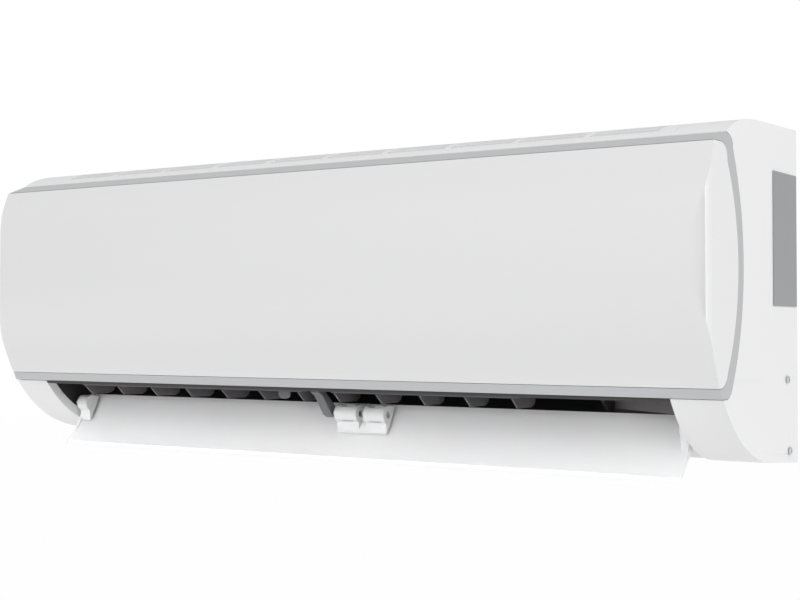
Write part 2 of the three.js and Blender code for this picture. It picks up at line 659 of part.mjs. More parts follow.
function outletDuct() {
  const top = DUCT_TOP + DUCT_WALL / 2;
  const roof = [[TRAY_FRONT + 1.3, TRAY_HEIGHT], [TRAY_FRONT + 1.3, 74], [-160, top], [-129, top]];
  const tongue = [[-131, top], [-124.6, top], [-127.4, 87]];
  const left = -OUTLET_HALF - FLANGE_WALL - SEAT;
  const right = -left;
  const tray = join(
    sideBar(ribbon(roof, DUCT_WALL), left - 3, right + 3),
    sideBar(ribbon(tongue, DUCT_WALL), LEFT_WALL_X + 3 + GAP, RIGHT_WALL_X - GAP),
  );
  const end = [[-149.5, top + 1], [-130, top + 1], [-129.6, 69.5], [-91.5, 38], [-91.5, 35], [-107, 23],
    [-112, 22], [-124, 29.5], [-146, 42], [-149.5, 45]];
  const leftEnd = sideBar(end, left - 3, left);
  const rightEnd = sideBar(end, right, right + 3);
  const trayEnd = [[TRAY_FRONT + 1, TRAY_HEIGHT], [TRAY_FRONT + 1, 74], [-160, top], [-129, top],
    [-129, TRAY_HEIGHT]];
  const leftTrayEnd = sideBar(trayEnd, left - 3, left);
  const rightTrayEnd = sideBar(trayEnd, right, right + 3);
  const floor = sideBar(ribbon([DUCT_FLOOR_FRONT, DUCT_FLOOR_BACK], 2.4), left - 3, right + 3);
  const funnelPlan = [[RIGHT_WALL_X + 6, -92], [347, -147.4], [347, -144.4], [RIGHT_WALL_X + 6, -89]];
  const behindFloor = [[-149.5, top + 1], [-85, top + 1], [-85, 35], [-91.5, 35], [-107, 23], [-112, 22],
    [-124, 29.5], [-146, 42], [-149.5, 45]];
  const funnel = planBar(funnelPlan, VANE_BOTTOM, top).intersect(sideBar(behindFloor, -BEYOND, BEYOND));
  const bulkheadDepth = [DUCT_FLOOR_BACK[0] - 1, DUCT_FLOOR_BACK[0] + 1.4];
  const bulkhead = block([RIGHT_WALL_X + 5, right + 3], bulkheadDepth, [DUCT_FLOOR_BACK[1] - 1, top]);
  const spout = rod([-146, 76], 8, left - 18, left - 2, 16);
  const spoutBore = rod([-146, 76], 6, left - 30, left + 2, 16);
  const drainHole = rod([-146, 76], 5, right - 2, right + 6, 16);
  const pinHole = (x) => post([x, VANE_AXIS_Y], VANE_PIN_RADIUS + 0.45, DUCT_TOP - 2, 70);
  const coupling = rod(FLAP_PIVOT, PIVOT_RADIUS + 0.5, right - 1, right + 4, 16);
  const pinSeat = rod(FLAP_PIVOT, PIVOT_RADIUS + SEAT, left - 4, left + 1, 16);
  const armWidth = [ARM_X[0] - SEAT, ARM_X[1] + SEAT];
  const armSlot = block(armWidth, [-147.3, -134.7], [DUCT_TOP - 1, DUCT_TOP + 1.2]);
  const whole = join(tray, leftEnd, rightEnd, leftTrayEnd, rightTrayEnd, floor, funnel, bulkhead, spout);
  return cut(whole, spoutBore, drainHole, coupling, pinSeat, armSlot, ...vanePlaces().map(pinHole));
}

function drainPlug() {
  const right = OUTLET_HALF + FLANGE_WALL + SEAT;
  const stem = rod([-146, 76], 4.6, right - 3, right + 4, 12);
  return join(stem, rod([-146, 76], 7.5, right + 3.3, right + 6, 12));
}

// ======== flap

// A point of the (Y, Z) plane turned about the flap's pivot by degrees.
function turned([y, z], degrees) {
  const point = new THREE.Vector2(y, z);
  point.rotateAround(new THREE.Vector2(...FLAP_PIVOT), THREE.MathUtils.degToRad(degrees));
  return [point.x, point.y];
}

function flapOutline() {
  const outer = curve(FLAP_FRONT, FLAP_CONTROL, FLAP_BACK, 8);
  const inner = curve(
    [FLAP_FRONT[0] + 2.6, FLAP_FRONT[1] + 0.2],
    [FLAP_CONTROL[0] + FLAP_THICKNESS * 0.72, FLAP_CONTROL[1] + FLAP_THICKNESS * 0.9],
    [FLAP_BACK[0] + 0.6, FLAP_BACK[1] + 2.2],
    8,
  );
  return [...outer, ...inner.reverse()];
}

const opened = (outline) => outline.map((point) => turned(point, FLAP_OPEN_ANGLE));

// The innermost point of the closed flap under the pivot, used to root its lugs.
const LUG_ROOT = [[-140.5, 36.5], [-113, 23.2]];

function flapLug(radius) {
  return [
    LUG_ROOT[0],
    ...arc(FLAP_PIVOT, radius, 150, 20, 6),
    LUG_ROOT[1],
    [-127, 28.5],
  ];
}

function louverFlap() {
  const blade = sideBar(opened(flapOutline()), -FLAP_HALF, FLAP_HALF);
  const endCap = [[-160, 56], [-150, 45], [-141, 40.5], [-127, 33], [-112.5, 24], [-113, 19.8],
    [-142.5, 31.5]];
  const caps = [-FLAP_HALF, FLAP_HALF - 2.4].map((x) => sideBar(opened(endCap), x, x + 2.4));
  const lug = sideBar(opened([...flapLug(LUG_RADIUS)]), FLAP_HALF - 7, FLAP_HALF - 2);
  const socket = rod(FLAP_PIVOT, PIVOT_RADIUS + 0.05 + GAP, FLAP_HALF - 8, FLAP_HALF - 1, 16);
  return cut(join(blade, ...caps, lug), socket, rod(FLAP_PIVOT, PIVOT_RADIUS + GAP, 330, 360, 16));
}

// A translucent bracket that stands on the flap's inner face and carries a pivot hole.
function pivotBracket(x0, x1, radius) {
  const foot = [[-139.8, 38.2], [-128, 31.4], [-114, 25.2]];
  const outline = [...arc(FLAP_PIVOT, radius, 155, 5, 8), ...foot.slice().reverse()];
  return sideBar(opened(outline), x0, x1);
}

function flapBush() {
  const bore = rod(FLAP_PIVOT, PIVOT_RADIUS + PIVOT_CLEARANCE, BUSH_X[0] - 1, BUSH_X[1] - 4, 16);
  return cut(pivotBracket(...BUSH_X, 8.6), bore);
}

function flapClip() {
  const cheeks = CLIP_X.map(([x0, x1]) => pivotBracket(x0, x1, 8.8));
  const web = [[-139.8, 38.2], [-128, 31.4], [-114, 25.2], [-115, 27.6], [-128, 34], [-138, 40]];
  const tie = sideBar(opened(web), -3, 53);
  const bore = rod(FLAP_PIVOT, PIVOT_RADIUS + PIVOT_CLEARANCE, -10, 60, 16);
  const hollow = block([3, 17], [-127, -118], [29, 50]);
  const second = block([35, 48], [-127, -118], [29, 50]);
  return cut(join(...cheeks, tie), bore, hollow, second);
}

function leftPivotPin() {
  const left = -OUTLET_HALF - FLANGE_WALL - SEAT;
  return rod(FLAP_PIVOT, PIVOT_RADIUS, left - 4.5, BUSH_X[0] + 8, 16);
}

function supportArm() {
  const arm = [[-147, DUCT_TOP + 0.8], [-135, DUCT_TOP + 0.8], [-135, 56], [-117, 40], [-116.5, 33], [-121, 31.5],
    [-126, 34], [-141, 53], [-147, 56]];
  const pin = rod(FLAP_PIVOT, PIVOT_RADIUS, ARM_X[1] - 1, 20, 16);
  return join(sideBar(arm, ...ARM_X), pin);
}

function flapMotor() {
  const right = OUTLET_HALF + FLANGE_WALL + SEAT + 3;
  const can = rod(FLAP_PIVOT, 11.5, right + SEAT, right + 19, 20);
  return cut(can, rod(FLAP_PIVOT, PIVOT_RADIUS + 0.5, right - 1, right + 6, 16));
}

function flapMotorShaft() {
  const right = OUTLET_HALF + FLANGE_WALL + SEAT + 3;
  return rod(FLAP_PIVOT, PIVOT_RADIUS, FLAP_HALF - 6, right + 5.6, 16);
}

// ======== vanes and their links

function vanePlaces() {
  const left = Array.from({ length: LEFT_VANES }, (_, i) => LEFT_VANE_START + i * VANE_PITCH);
  const right = Array.from({ length: RIGHT_VANES }, (_, i) => RIGHT_VANE_START + i * VANE_PITCH);
  return [...left, ...right];
}

function vane(x) {
  const shoulder = LINK_BOTTOM - SEAT;
  const outline = [
    [-151, shoulder], [-140.5, VANE_BOTTOM], [-114, VANE_BOTTOM], [-108.5, 50], [-107, 54], [-110, 61.6],
    [-140.2, 61.6], [-140.2, shoulder],
  ];
  const blade = sideBar(outline, x - VANE_THICKNESS / 2, x + VANE_THICKNESS / 2);
  const pivot = post([x, VANE_AXIS_Y], VANE_PIN_RADIUS, 58, DUCT_TOP + 3.4, 6);
  const crank = post([x, VANE_AXIS_Y - CRANK], LINK_PIN_RADIUS, 54.5, LINK_BOTTOM + LINK_HEIGHT + 0.8, 6);
  return join(blade, pivot, crank);
}

function vaneLink(places, withTab) {
  const y = VANE_AXIS_Y - CRANK;
  const ends = [places[0] - LINK_OVERHANG, places[places.length - 1] + LINK_OVERHANG];
  const bar = block(ends, [y - LINK_WIDTH / 2, y + LINK_WIDTH / 2], [LINK_BOTTOM, LINK_BOTTOM + LINK_HEIGHT]);
  const reach = LINK_PIN_RADIUS + LINK_CLEARANCE;
  const slotHeight = [LINK_BOTTOM - 2, LINK_BOTTOM + 6];
  const slots = places.map((x) => block([x - reach, x + reach], [y - 2.6, y + 3], slotHeight));
  if (!withTab) return cut(bar, ...slots);
  const tip = Array.from({ length: 9 }, (_, i) => {
    const angle = Math.PI + (Math.PI * i) / 8;
    return [TAB_X + (TAB_WIDTH / 2) * Math.cos(angle), TAB_BOTTOM + 4 + 4 * Math.sin(angle)];
  });
  const outline = [...tip, [TAB_X + TAB_WIDTH / 2, LINK_BOTTOM + 1], [TAB_X - TAB_WIDTH / 2, LINK_BOTTOM + 1]];
  return join(cut(bar, ...slots), frontBar(outline, y - 1.6, y - 4.2));
}

// ======== fan and its motor

function fanBlade(angle) {
  const outer = FAN_RADIUS - 0.4;
  const middle = (outer + FAN_INNER_RADIUS) / 2;
  const at = (radius, degrees) => arc(FAN_CENTRE, radius, degrees, degrees, 1)[0];
  const half = (BLADE_THICKNESS / FAN_RADIUS) * 30;
  return sideBar(
    [
      at(FAN_INNER_RADIUS, angle - half), at(middle, angle + 3 - half), at(outer, angle + 13 - half),
      at(outer, angle + 13 + half), at(middle, angle + 3 + half), at(FAN_INNER_RADIUS, angle + half),
    ],
    FAN_X[0] + 0.5,
    FAN_X[1] - 0.5,
  );
}

function crossflowFan() {
  const blades = Array.from({ length: FAN_BLADES }, (_, i) => fanBlade((360 * i) / FAN_BLADES));
  const pitch = (FAN_X[1] - FAN_X[0] - FAN_RING_WIDTH) / (FAN_RINGS - 1);
  const rings = Array.from({ length: FAN_RINGS }, (_, i) => {
    const x = FAN_X[0] + i * pitch;
    const disc = rod(FAN_CENTRE, FAN_RADIUS, x, x + FAN_RING_WIDTH, FAN_BLADES * 2);
    const middle = i > 0 && i < FAN_RINGS - 1;
    return middle ? cut(disc, rod(FAN_CENTRE, FAN_INNER_RADIUS - 2, x - 1, x + 4, FAN_BLADES)) : disc;
  });
  const hub = rod(FAN_CENTRE, 9, FAN_X[1] - 22, FAN_X[1] - 1, 16);
  const stubHub = rod(FAN_CENTRE, 9, FAN_X[0] + 1, FAN_X[0] + 14, 16);
  const bores = [
    rod(FAN_CENTRE, SHAFT_RADIUS + SEAT, FAN_X[1] - 18, FAN_X[1] + 1, 16),
    rod(FAN_CENTRE, SHAFT_RADIUS + SEAT, FAN_X[0] - 1, FAN_X[0] + 10, 16),
  ];
  return cut(join(...rings, ...blades, hub, stubHub), ...bores);
}

function fanMotor() {
  const body = rod(FAN_CENTRE, MOTOR_RADIUS, MOTOR_X[0] + 6, MOTOR_X[1] - 6, 32);
  const collar = rod(FAN_CENTRE, MOTOR_RADIUS - 12, MOTOR_X[0], MOTOR_X[1], 24);
  const bore = rod(FAN_CENTRE, SHAFT_RADIUS + 0.4, MOTOR_X[0] - 1, MOTOR_X[0] + 12, 16);
  return cut(join(body, collar), bore);
}

function motorStrap() {
  const inner = MOTOR_RADIUS + SEAT + 0.1;
  const outline = [
    ...arc(FAN_CENTRE, inner, 2, 178, 12),
    ...arc(FAN_CENTRE, inner + STRAP_THICKNESS, 178, 2, 12),
  ];
  const middle = [MOTOR_X[0] + 14, MOTOR_X[1] - 14];
  const strap = sideBar(outline, ...middle);
  const level = FAN_CENTRE[1] - 4 + SEAT;
  const foot = (y0, y1) => block([MOTOR_X[0] + 5, MOTOR_X[1] - 5], [y0, y1], [level, level + 6]);
  const spread = inner + STRAP_THICKNESS;
  const front = foot(FAN_CENTRE[0] - spread - 6, FAN_CENTRE[0] - inner - 0.4);
  const back = foot(FAN_CENTRE[0] + inner + 0.4, FAN_CENTRE[0] + spread + 1.5);
  return join(strap, front, back);
}

function fanBearing() {
  const ring = rod(FAN_CENTRE, BEARING_RADIUS - 0.1, LEFT_WALL_X - 3, LEFT_WALL_X + 6, 24);
  return cut(ring, rod(FAN_CENTRE, SHAFT_RADIUS + 0.15, LEFT_WALL_X - 5, LEFT_WALL_X + 8, 16));
}

// ======== coil and pipes

const coilDirection = ([y0, z0], [y1, z1]) => new THREE.Vector2(y1 - y0, z1 - z0).normalize();

// A fin block between two corners of its outer face, with its thickness on the fan's side.
function finBlock(start, end) {
  const along = coilDirection(start, end);
  const inward = [along.y * COIL_THICKNESS, -along.x * COIL_THICKNESS];
  const move = ([y, z]) => [y + inward[0], z + inward[1]];
  return sideBar([start, end, move(end), move(start)], COIL_X[0], COIL_X[1]);
}

const COIL_LOWER = [[-158, 72], [-158, 157.5]];
const COIL_UPPER = [[-158, 172], [-115.5, 239.8]];
const COIL_REAR = [[-73.8, 243.9], [-28.8, 183.9]];

function endPlate(x0, x1) {
  const outline = [
    [-160, 71], [-133, 71], [-132.5, 157], [-94.6, 224], [-47.8, 167.2], [-26.6, 184.2],
    [-73.6, 246.6], [-94, 233], [-116, 242.4], [-160, 173.2],
  ];
  return sideBar(outline, x0, x1);
}

// A half-round return bend between two tube places on an end plate.
function returnBend(plateX, outwards, [y0, z0], [y1, z1]) {
  const middle = [(y0 + y1) / 2, (z0 + z1) / 2];
  const steps = 4;
  const points = [[plateX - outwards * 0.8, y0, z0], [plateX + outwards * 5, y0, z0]];
  for (let i = 1; i < steps; i++) {
    const angle = (Math.PI * i) / steps;
    const share = Math.cos(angle);
    points.push([
      plateX + outwards * (5 + BEND_RADIUS * Math.sin(angle)),
      middle[0] + (y0 - middle[0]) * share,
      middle[1] + (z0 - middle[1]) * share,
    ]);
  }
  points.push([plateX + outwards * 5, y1, z1], [plateX - outwards * 0.8, y1, z1]);
  return tube(points, TUBE_RADIUS, 5, 8);
}

function bendPlaces(shift) {
  const lower = [0, 1].map((i) => [[-146, 84 + shift + i * 42], [-146, 84 + shift + i * 42 + 2 * BEND_RADIUS]]);
  const upper = coilDirection(...COIL_UPPER);
  const upperAt = (distance) => [-158 + 10.5 + upper.x * distance, 172 - 6 + upper.y * distance];
  const rear = coilDirection(...COIL_REAR);
  const rearAt = (distance) => [-73.8 - 9.6 + rear.x * distance, 243.9 - 7.2 + rear.y * distance];
  return [
    ...lower,
    [upperAt(20 + shift / 2), upperAt(20 + shift / 2 + 2 * BEND_RADIUS)],
    [rearAt(16 + shift / 2), rearAt(16 + shift / 2 + 2 * BEND_RADIUS)],
  ];
}

function coilEnd(x0, x1, outwards, shift) {
  const face = outwards > 0 ? x1 : x0;
  const bends = bendPlaces(shift).map(([a, b]) => returnBend(face, outwards, a, b));
  return join(endPlate(x0, x1), ...bends);
}

const RIGHT_PLATE_X = COIL_X[1] + SEAT;
const LEFT_PLATE_X = COIL_X[0] - SEAT - COIL_PLATE;

function connectionPipe(radius, [startY, startZ], dropX, height) {
  const face = RIGHT_PLATE_X + COIL_PLATE + SEAT;
  const points = [
    [face, startY, startZ],
    [face + 12, startY, startZ],
    [RIGHT_WALL_X + 8, startY, startZ],
    [dropX - 8, startY + 3, startZ],
    [dropX, (startY + PIPE_Y) / 2, startZ - 3],
    [dropX, PIPE_Y, startZ - 16],
    [dropX, PIPE_Y, height + 24],
    [dropX - 5, PIPE_Y, height + 5],
    [dropX - 24, PIPE_Y, height],
    [60, PIPE_Y, height],
    [PIPE_END_X, PIPE_Y, height],
  ];
  return tube(points, radius, 8, 30);
}

function flareNut(radius, height) {
  const across = radius + 4.4;
  const nut = rod([PIPE_Y, height], across, PIPE_END_X - 18, PIPE_END_X + 6, 6);
  return cut(nut, rod([PIPE_Y, height], radius + SEAT, PIPE_END_X - 8, PIPE_END_X + 8, 12));
}

function pipeClamp() {
  const plate = block([95, 115], [-40, -14], [7.6, 42]);
  const grip = (height, radius) => rod([PIPE_Y, height], radius + 0.7, 90, 120, 12);
  const mouths = block([90, 120], [PIPE_Y, -10], [GAS_PIPE_HEIGHT - 5.4, GAS_PIPE_HEIGHT + 5.4]);
  const lowMouth = block([90, 120], [PIPE_Y, -10], [LIQUID_PIPE_HEIGHT - 3.8, LIQUID_PIPE_HEIGHT + 3.8]);
  const gasGrip = grip(GAS_PIPE_HEIGHT, GAS_PIPE_RADIUS);
  const liquidGrip = grip(LIQUID_PIPE_HEIGHT, LIQUID_PIPE_RADIUS);
  return cut(plate, gasGrip, liquidGrip, mouths, lowMouth);
}

// ======== control box

function controlBox() {
  const outer = block(BOX_X, BOX_Y, BOX_Z);
  const space = block(
    [BOX_X[0] + BOX_WALL, BOX_X[1] - BOX_WALL],
    [BOX_Y[0] - 5, BOX_Y[1] - BOX_WALL],
    [BOX_Z[0] + BOX_WALL, BOX_Z[1] - BOX_WALL],
  );
  return cut(outer, space);
}

function controlBoxCover() {
  const face = block(BOX_X, [BOX_Y[0] - SEAT - 2, BOX_Y[0] - SEAT], [BOX_Z[0], BOX_Z[1]]);
  const inside = block(
    [BOX_X[0] + BOX_WALL + SEAT, BOX_X[1] - BOX_WALL - SEAT],
    [BOX_Y[0] - SEAT - 1, BOX_Y[0] + 5],
    [BOX_Z[0] + BOX_WALL + SEAT, BOX_Z[1] - BOX_WALL - SEAT],
  );
  const depth = [BOX_Y[0] - SEAT, BOX_Y[0] + 8];
  const hollow = block([BOX_X[0] + 5, BOX_X[1] - 5], depth, [BOX_Z[0] + 5, BOX_Z[1] - 5]);
  return cut(join(face, inside), hollow);
}

function controlBoard() {
  const x = BOX_X[0] + BOX_WALL + SEAT;
  const board = block([x + 3, x + 4.6], [-114, -48], [128, 228]);
  const corners = [[-109, 134], [-53, 134], [-109, 222], [-53, 222]];
  const stands = corners.map((corner) => rod(corner, 2, x, x + 3.5, 8));
  const parts = [
    block([x + 4, x + 22], [-106, -82], [136, 160]),
    rod([-68, 148], 8, x + 4, x + 28, 12),
    block([x + 4, x + 14], [-78, -58], [176, 216]),
    block([x + 4, x + 17], [-108, -92], [180, 212]),
  ];
  return join(board, ...stands, ...parts);
}

function terminalBlock() {
  const x = BOX_X[0] + BOX_WALL + SEAT;
  const base = block([x, x + 24], [-111.5, -62], [BOX_Z[0] + BOX_WALL + SEAT, 104]);
  const bay = (i) => block([x + 9, x + 30], [-109.5 + i * 12, -100.5 + i * 12], [94, 110]);
  return cut(base, ...[0, 1, 2, 3].map(bay));
}

// ======== assembly

piece("mounting_plate", mountingPlate(), FINISH.steel);
piece("rear_chassis", rearChassis(), FINISH.casing);
piece("front_casing", frontCasing(), FINISH.casing);
piece("intake_grille", intakeGrille(), FINISH.casing);
piece("rating_plate", ratingPlate(), FINISH.plate);
piece("front_panel", frontPanel(), FINISH.panel);
piece("panel_frame", panelFrame(), FINISH.frame);
piece("air_filter_left", airFilter(-368, -1), FINISH.filter);
piece("air_filter_right", airFilter(1, 368), FINISH.filter);
piece("display_module", displayModule(), FINISH.duct);
piece("outlet_duct", outletDuct(), FINISH.duct);
piece("drain_plug", drainPlug(), FINISH.rubber);
piece("louver_flap", louverFlap(), FINISH.casing);
piece("flap_bush_left", flapBush(), FINISH.natural);
piece("flap_centre_clip", flapClip(), FINISH.natural);
piece("flap_pin_left", leftPivotPin(), FINISH.vane);
piece("flap_support_arm", supportArm(), FINISH.vane);
piece("flap_motor", flapMotor(), FINISH.motor);
piece("flap_motor_shaft", flapMotorShaft(), FINISH.vane);
vanePlaces().forEach((x, i) => piece(`vane_${i + 1}`, vane(x), FINISH.vane));
piece("vane_link_left", vaneLink(vanePlaces().slice(0, LEFT_VANES), true), FINISH.vane);
piece("vane_link_right", vaneLink(vanePlaces().slice(LEFT_VANES), false), FINISH.vane);
piece("crossflow_fan", crossflowFan(), FINISH.fan);
piece("fan_stub_shaft", rod(FAN_CENTRE, SHAFT_RADIUS, LEFT_WALL_X - 4, FAN_X[0] + 9, 16), FINISH.steel);
piece("motor_shaft", rod(FAN_CENTRE, SHAFT_RADIUS, FAN_X[1] - 17, MOTOR_X[0] + 11, 16), FINISH.steel);
piece("fan_bearing", fanBearing(), FINISH.rubber);
piece("fan_motor", fanMotor(), FINISH.motor);
piece("motor_strap", motorStrap(), FINISH.steel);
piece("coil_front_lower", finBlock(...COIL_LOWER), FINISH.fins);
piece("coil_front_upper", finBlock(...COIL_UPPER), FINISH.fins);
piece("coil_rear", finBlock(...COIL_REAR), FINISH.fins);
piece("coil_end_left", coilEnd(LEFT_PLATE_X, LEFT_PLATE_X + COIL_PLATE, -1, 0), FINISH.copper);
piece("coil_end_right", coilEnd(RIGHT_PLATE_X, RIGHT_PLATE_X + COIL_PLATE, 1, 21), FINISH.copper);
piece("gas_pipe", connectionPipe(GAS_PIPE_RADIUS, GAS_PIPE_START, PIPE_DROP_X, GAS_PIPE_HEIGHT), FINISH.copper);
piece(
  "liquid_pipe",
  connectionPipe(LIQUID_PIPE_RADIUS, LIQUID_PIPE_START, PIPE_DROP_X + 24, LIQUID_PIPE_HEIGHT),
  FINISH.copper,
);
piece("gas_flare_nut", flareNut(GAS_PIPE_RADIUS, GAS_PIPE_HEIGHT), FINISH.brass);
piece("liquid_flare_nut", flareNut(LIQUID_PIPE_RADIUS, LIQUID_PIPE_HEIGHT), FINISH.brass);
piece("pipe_clamp", pipeClamp(), FINISH.duct);
piece("control_box", controlBox(), FINISH.motor);
piece("control_box_cover", controlBoxCover(), FINISH.motor);
piece("control_board", controlBoard(), FINISH.board);
piece("terminal_block", terminalBlock(), FINISH.duct);
SCREWS.forEach((centre, i) => {
  piece(`side_screw_right_${i + 1}`, sideScrew(1, centre), FINISH.steel);
  piece(`side_screw_left_${i + 1}`, sideScrew(-1, centre), FINISH.steel);
});

const root = new THREE.Group();
root.add(unit);
export default root;
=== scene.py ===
"""A mini split indoor unit: its visible pieces, finishes, studio and camera.

Sizes are in millimetres. Y is the depth, with the wall at 0 and the front negative. Heights are
measured from the casing's lowest edge, and `Workshop.lower` moves them to the frame's origin.
"""

import logging
import math
from collections.abc import Callable, Iterable, Sequence
from dataclasses import dataclass, field
from enum import Enum

import bmesh
import bpy
from mathutils import Matrix, Vector


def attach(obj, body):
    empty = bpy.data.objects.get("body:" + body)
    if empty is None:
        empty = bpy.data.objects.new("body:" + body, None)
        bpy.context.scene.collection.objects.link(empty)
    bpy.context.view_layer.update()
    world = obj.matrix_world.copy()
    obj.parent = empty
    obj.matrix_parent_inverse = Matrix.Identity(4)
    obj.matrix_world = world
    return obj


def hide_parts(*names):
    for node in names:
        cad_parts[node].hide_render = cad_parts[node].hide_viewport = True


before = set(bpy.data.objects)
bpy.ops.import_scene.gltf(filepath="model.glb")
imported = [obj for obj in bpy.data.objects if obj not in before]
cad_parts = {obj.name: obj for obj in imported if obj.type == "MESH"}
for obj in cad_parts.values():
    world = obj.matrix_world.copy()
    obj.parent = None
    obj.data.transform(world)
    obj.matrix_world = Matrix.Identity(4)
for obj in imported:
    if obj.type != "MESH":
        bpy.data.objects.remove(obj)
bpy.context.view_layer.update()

LOG = logging.getLogger("indoor_unit")
MM = 0.001
DATUM_HEIGHT = 150.0
BEYOND = 450.0

Point = tuple[float, float]
Outline = list[Point]
Span = tuple[float, float]


class Combine(Enum):
    """How one solid works on another."""

    JOIN = "UNION"
    CUT = "DIFFERENCE"
    COMMON = "INTERSECT"


class Grain(Enum):
    """The kind of surface a finish has."""

    MOULDED = "moulded"
    BRUSHED = "brushed"


# ---------------------------------------------------------------- outlines


def arc(centre: Point, radius: float, start: float, end: float, steps: int) -> Outline:
    """Points of an arc.

    Args:
        centre: the arc's centre.
        radius: its radius.
        start: first angle, in degrees from the first axis towards the second.
        end: last angle.
        steps: number of chords.

    Returns:
        The points in order.
    """
    angles = [math.radians(start + (end - start) * i / steps) for i in range(steps + 1)]
    return [(centre[0] + radius * math.cos(a), centre[1] + radius * math.sin(a)) for a in angles]


def curve(start: Point, control: Point, end: Point, steps: int) -> Outline:
    """Points of a quadratic curve.

    Args:
        start: first point.
        control: point that pulls the curve.
        end: last point.
        steps: number of chords.

    Returns:
        The points in order.
    """
    points = []
    for i in range(steps + 1):
        t = i / steps
        weights = ((1 - t) ** 2, 2 * t * (1 - t), t * t)
        points.append(tuple(sum(w * p[k] for w, p in zip(weights, (start, control, end))) for k in (0, 1)))
    return points


def on_circle(centre: Point, radius: float, height: float, side: int) -> float:
    """Depth where a circle crosses a height, on its front (-1) or back (+1) side."""
    return centre[0] + side * math.sqrt(radius**2 - (height - centre[1]) ** 2)


def arc_between(centre: Point, radius: float, heights: Span, side: int, steps: int) -> Outline:
    """The arc of a circle between two heights.

    Args:
        centre: the circle's centre.
        radius: its radius.
        heights: first and last height.
        side: -1 for the front of the circle, +1 for its back.
        steps: number of chords.

    Returns:
        The points in order.
    """
    low, high = heights
    levels = [low + (high - low) * i / steps for i in range(steps + 1)]
    return [(on_circle(centre, radius, z, side), z) for z in levels]


def offset_path(path: Outline, distance: float) -> Outline:
    """An open path moved sideways, to the left of its direction.

    Args:
        path: the points.
        distance: how far it moves.

    Returns:
        The moved points.
    """
    moved = []
    last = len(path) - 1
    for i, point in enumerate(path):
        here = Vector(point)
        before = (here - Vector(path[max(0, i - 1)])).normalized()
        after = (Vector(path[min(last, i + 1)]) - here).normalized()
        run = after if i == 0 else before if i == last else (before + after)
        across = Vector((-run.y, run.x)).normalized()
        edge = after if i == 0 else before
        share = max(0.5, across.dot(Vector((-edge.y, edge.x))))
        moved.append(tuple(here + across * distance / share))
    return moved


def rounded(outline: Outline, radii: dict[int, float], steps: int = 6) -> Outline:
    """An outline with some of its corners rounded.

    Args:
        outline: the corners in order.
        radii: the radius wanted at each numbered corner.
        steps: chords in each rounding.

    Returns:
        The new outline.
    """
    result: Outline = []
    count = len(outline)
    for i, corner in enumerate(outline):
        if i not in radii:
            result.append(corner)
            continue
        here = Vector(corner)
        back = (Vector(outline[i - 1]) - here).normalized()
        ahead = (Vector(outline[(i + 1) % count]) - here).normalized()
        reach = radii[i] / math.tan(back.angle(ahead) / 2)
        result += curve(tuple(here + back * reach), corner, tuple(here + ahead * reach), steps)
    return result


# ---------------------------------------------------------------- solids


def bar(outline: Outline, span: Span, place: Callable[[float, float, float], tuple]) -> bmesh.types.BMesh:
    """An outline carried along a straight line.

    Args:
        outline: its corners.
        span: where it starts and ends.
        place: turns (first, second, distance) into a point of the frame.

    Returns:
        The closed solid.
    """
    solid = bmesh.new()
    corners = [solid.verts.new(place(a, b, span[0])) for a, b in outline]
    face = solid.faces.new(corners)
    swept = bmesh.ops.extrude_face_region(solid, geom=[face])
    moved = [item for item in swept["geom"] if isinstance(item, bmesh.types.BMVert)]
    step = Vector(place(0, 0, span[1])) - Vector(place(0, 0, span[0]))
    bmesh.ops.translate(solid, verts=moved, vec=step)
    bmesh.ops.recalc_face_normals(solid, faces=solid.faces)
    return solid


def side_bar(outline: Outline, x0: float, x1: float) -> bmesh.types.BMesh:
    """A (depth, height) outline carried along the unit."""
    return bar(outline, (min(x0, x1), max(x0, x1)), lambda y, z, x: (x, y, z))


def plan_bar(outline: Outline, z0: float, z1: float) -> bmesh.types.BMesh:
    """An (x, depth) outline carried upwards."""
    return bar(outline, (z0, z1), lambda x, y, z: (x, y, z))


def block(x: Span, y: Span, z: Span) -> bmesh.types.BMesh:
    """A box between two limits on each axis.

    Args:
        x: limits along the unit.
        y: limits in depth.
        z: limits in height.

    Returns:
        The closed solid.
    """
    solid = bmesh.new()
    size = Matrix.Diagonal((x[1] - x[0], y[1] - y[0], z[1] - z[0], 1))
    centre = Matrix.Translation(((x[0] + x[1]) / 2, (y[0] + y[1]) / 2, (z[0] + z[1]) / 2))
    bmesh.ops.create_cube(solid, size=1, matrix=centre @ size)
    return solid


def rod(centre: Point, radius: float, x0: float, x1: float, sides: int = 32) -> bmesh.types.BMesh:
    """A round bar along the unit.

    Args:
        centre: (depth, height) of its axis.
        radius: its radius.
        x0: one end.
        x1: other end.
        sides: facets round it.

    Returns:
        The closed solid.
    """
    solid = bmesh.new()
    place = Matrix.Translation(((x0 + x1) / 2, *centre)) @ Matrix.Rotation(math.pi / 2, 4, "Y")
    bmesh.ops.create_cone(
        solid,
        cap_ends=True,
        segments=sides,
        radius1=radius,
        radius2=radius,
        depth=abs(x1 - x0),
        matrix=place,
    )
    return solid


def gather(solids: Iterable[bmesh.types.BMesh]) -> bmesh.types.BMesh:
    """Several solids side by side in one mesh.

    Args:
        solids: the solids. They are used up.

    Returns:
        One mesh that holds them all.
    """
    whole = bmesh.new()
    for solid in solids:
        mesh = bpy.data.meshes.new("part")
        solid.to_mesh(mesh)
        solid.free()
        whole.from_mesh(mesh)
        bpy.data.meshes.remove(mesh)
    return whole


def workpiece(solid: bmesh.types.BMesh) -> bpy.types.Object:
    """A passing object that holds a solid while it is worked on.

    Args:
        solid: the solid. It is used up.

    Returns:
        The object, linked to the scene.
    """
    mesh = bpy.data.meshes.new("workpiece")
    solid.to_mesh(mesh)
    solid.free()
    item = bpy.data.objects.new("workpiece", mesh)
    bpy.context.scene.collection.objects.link(item)
    return item


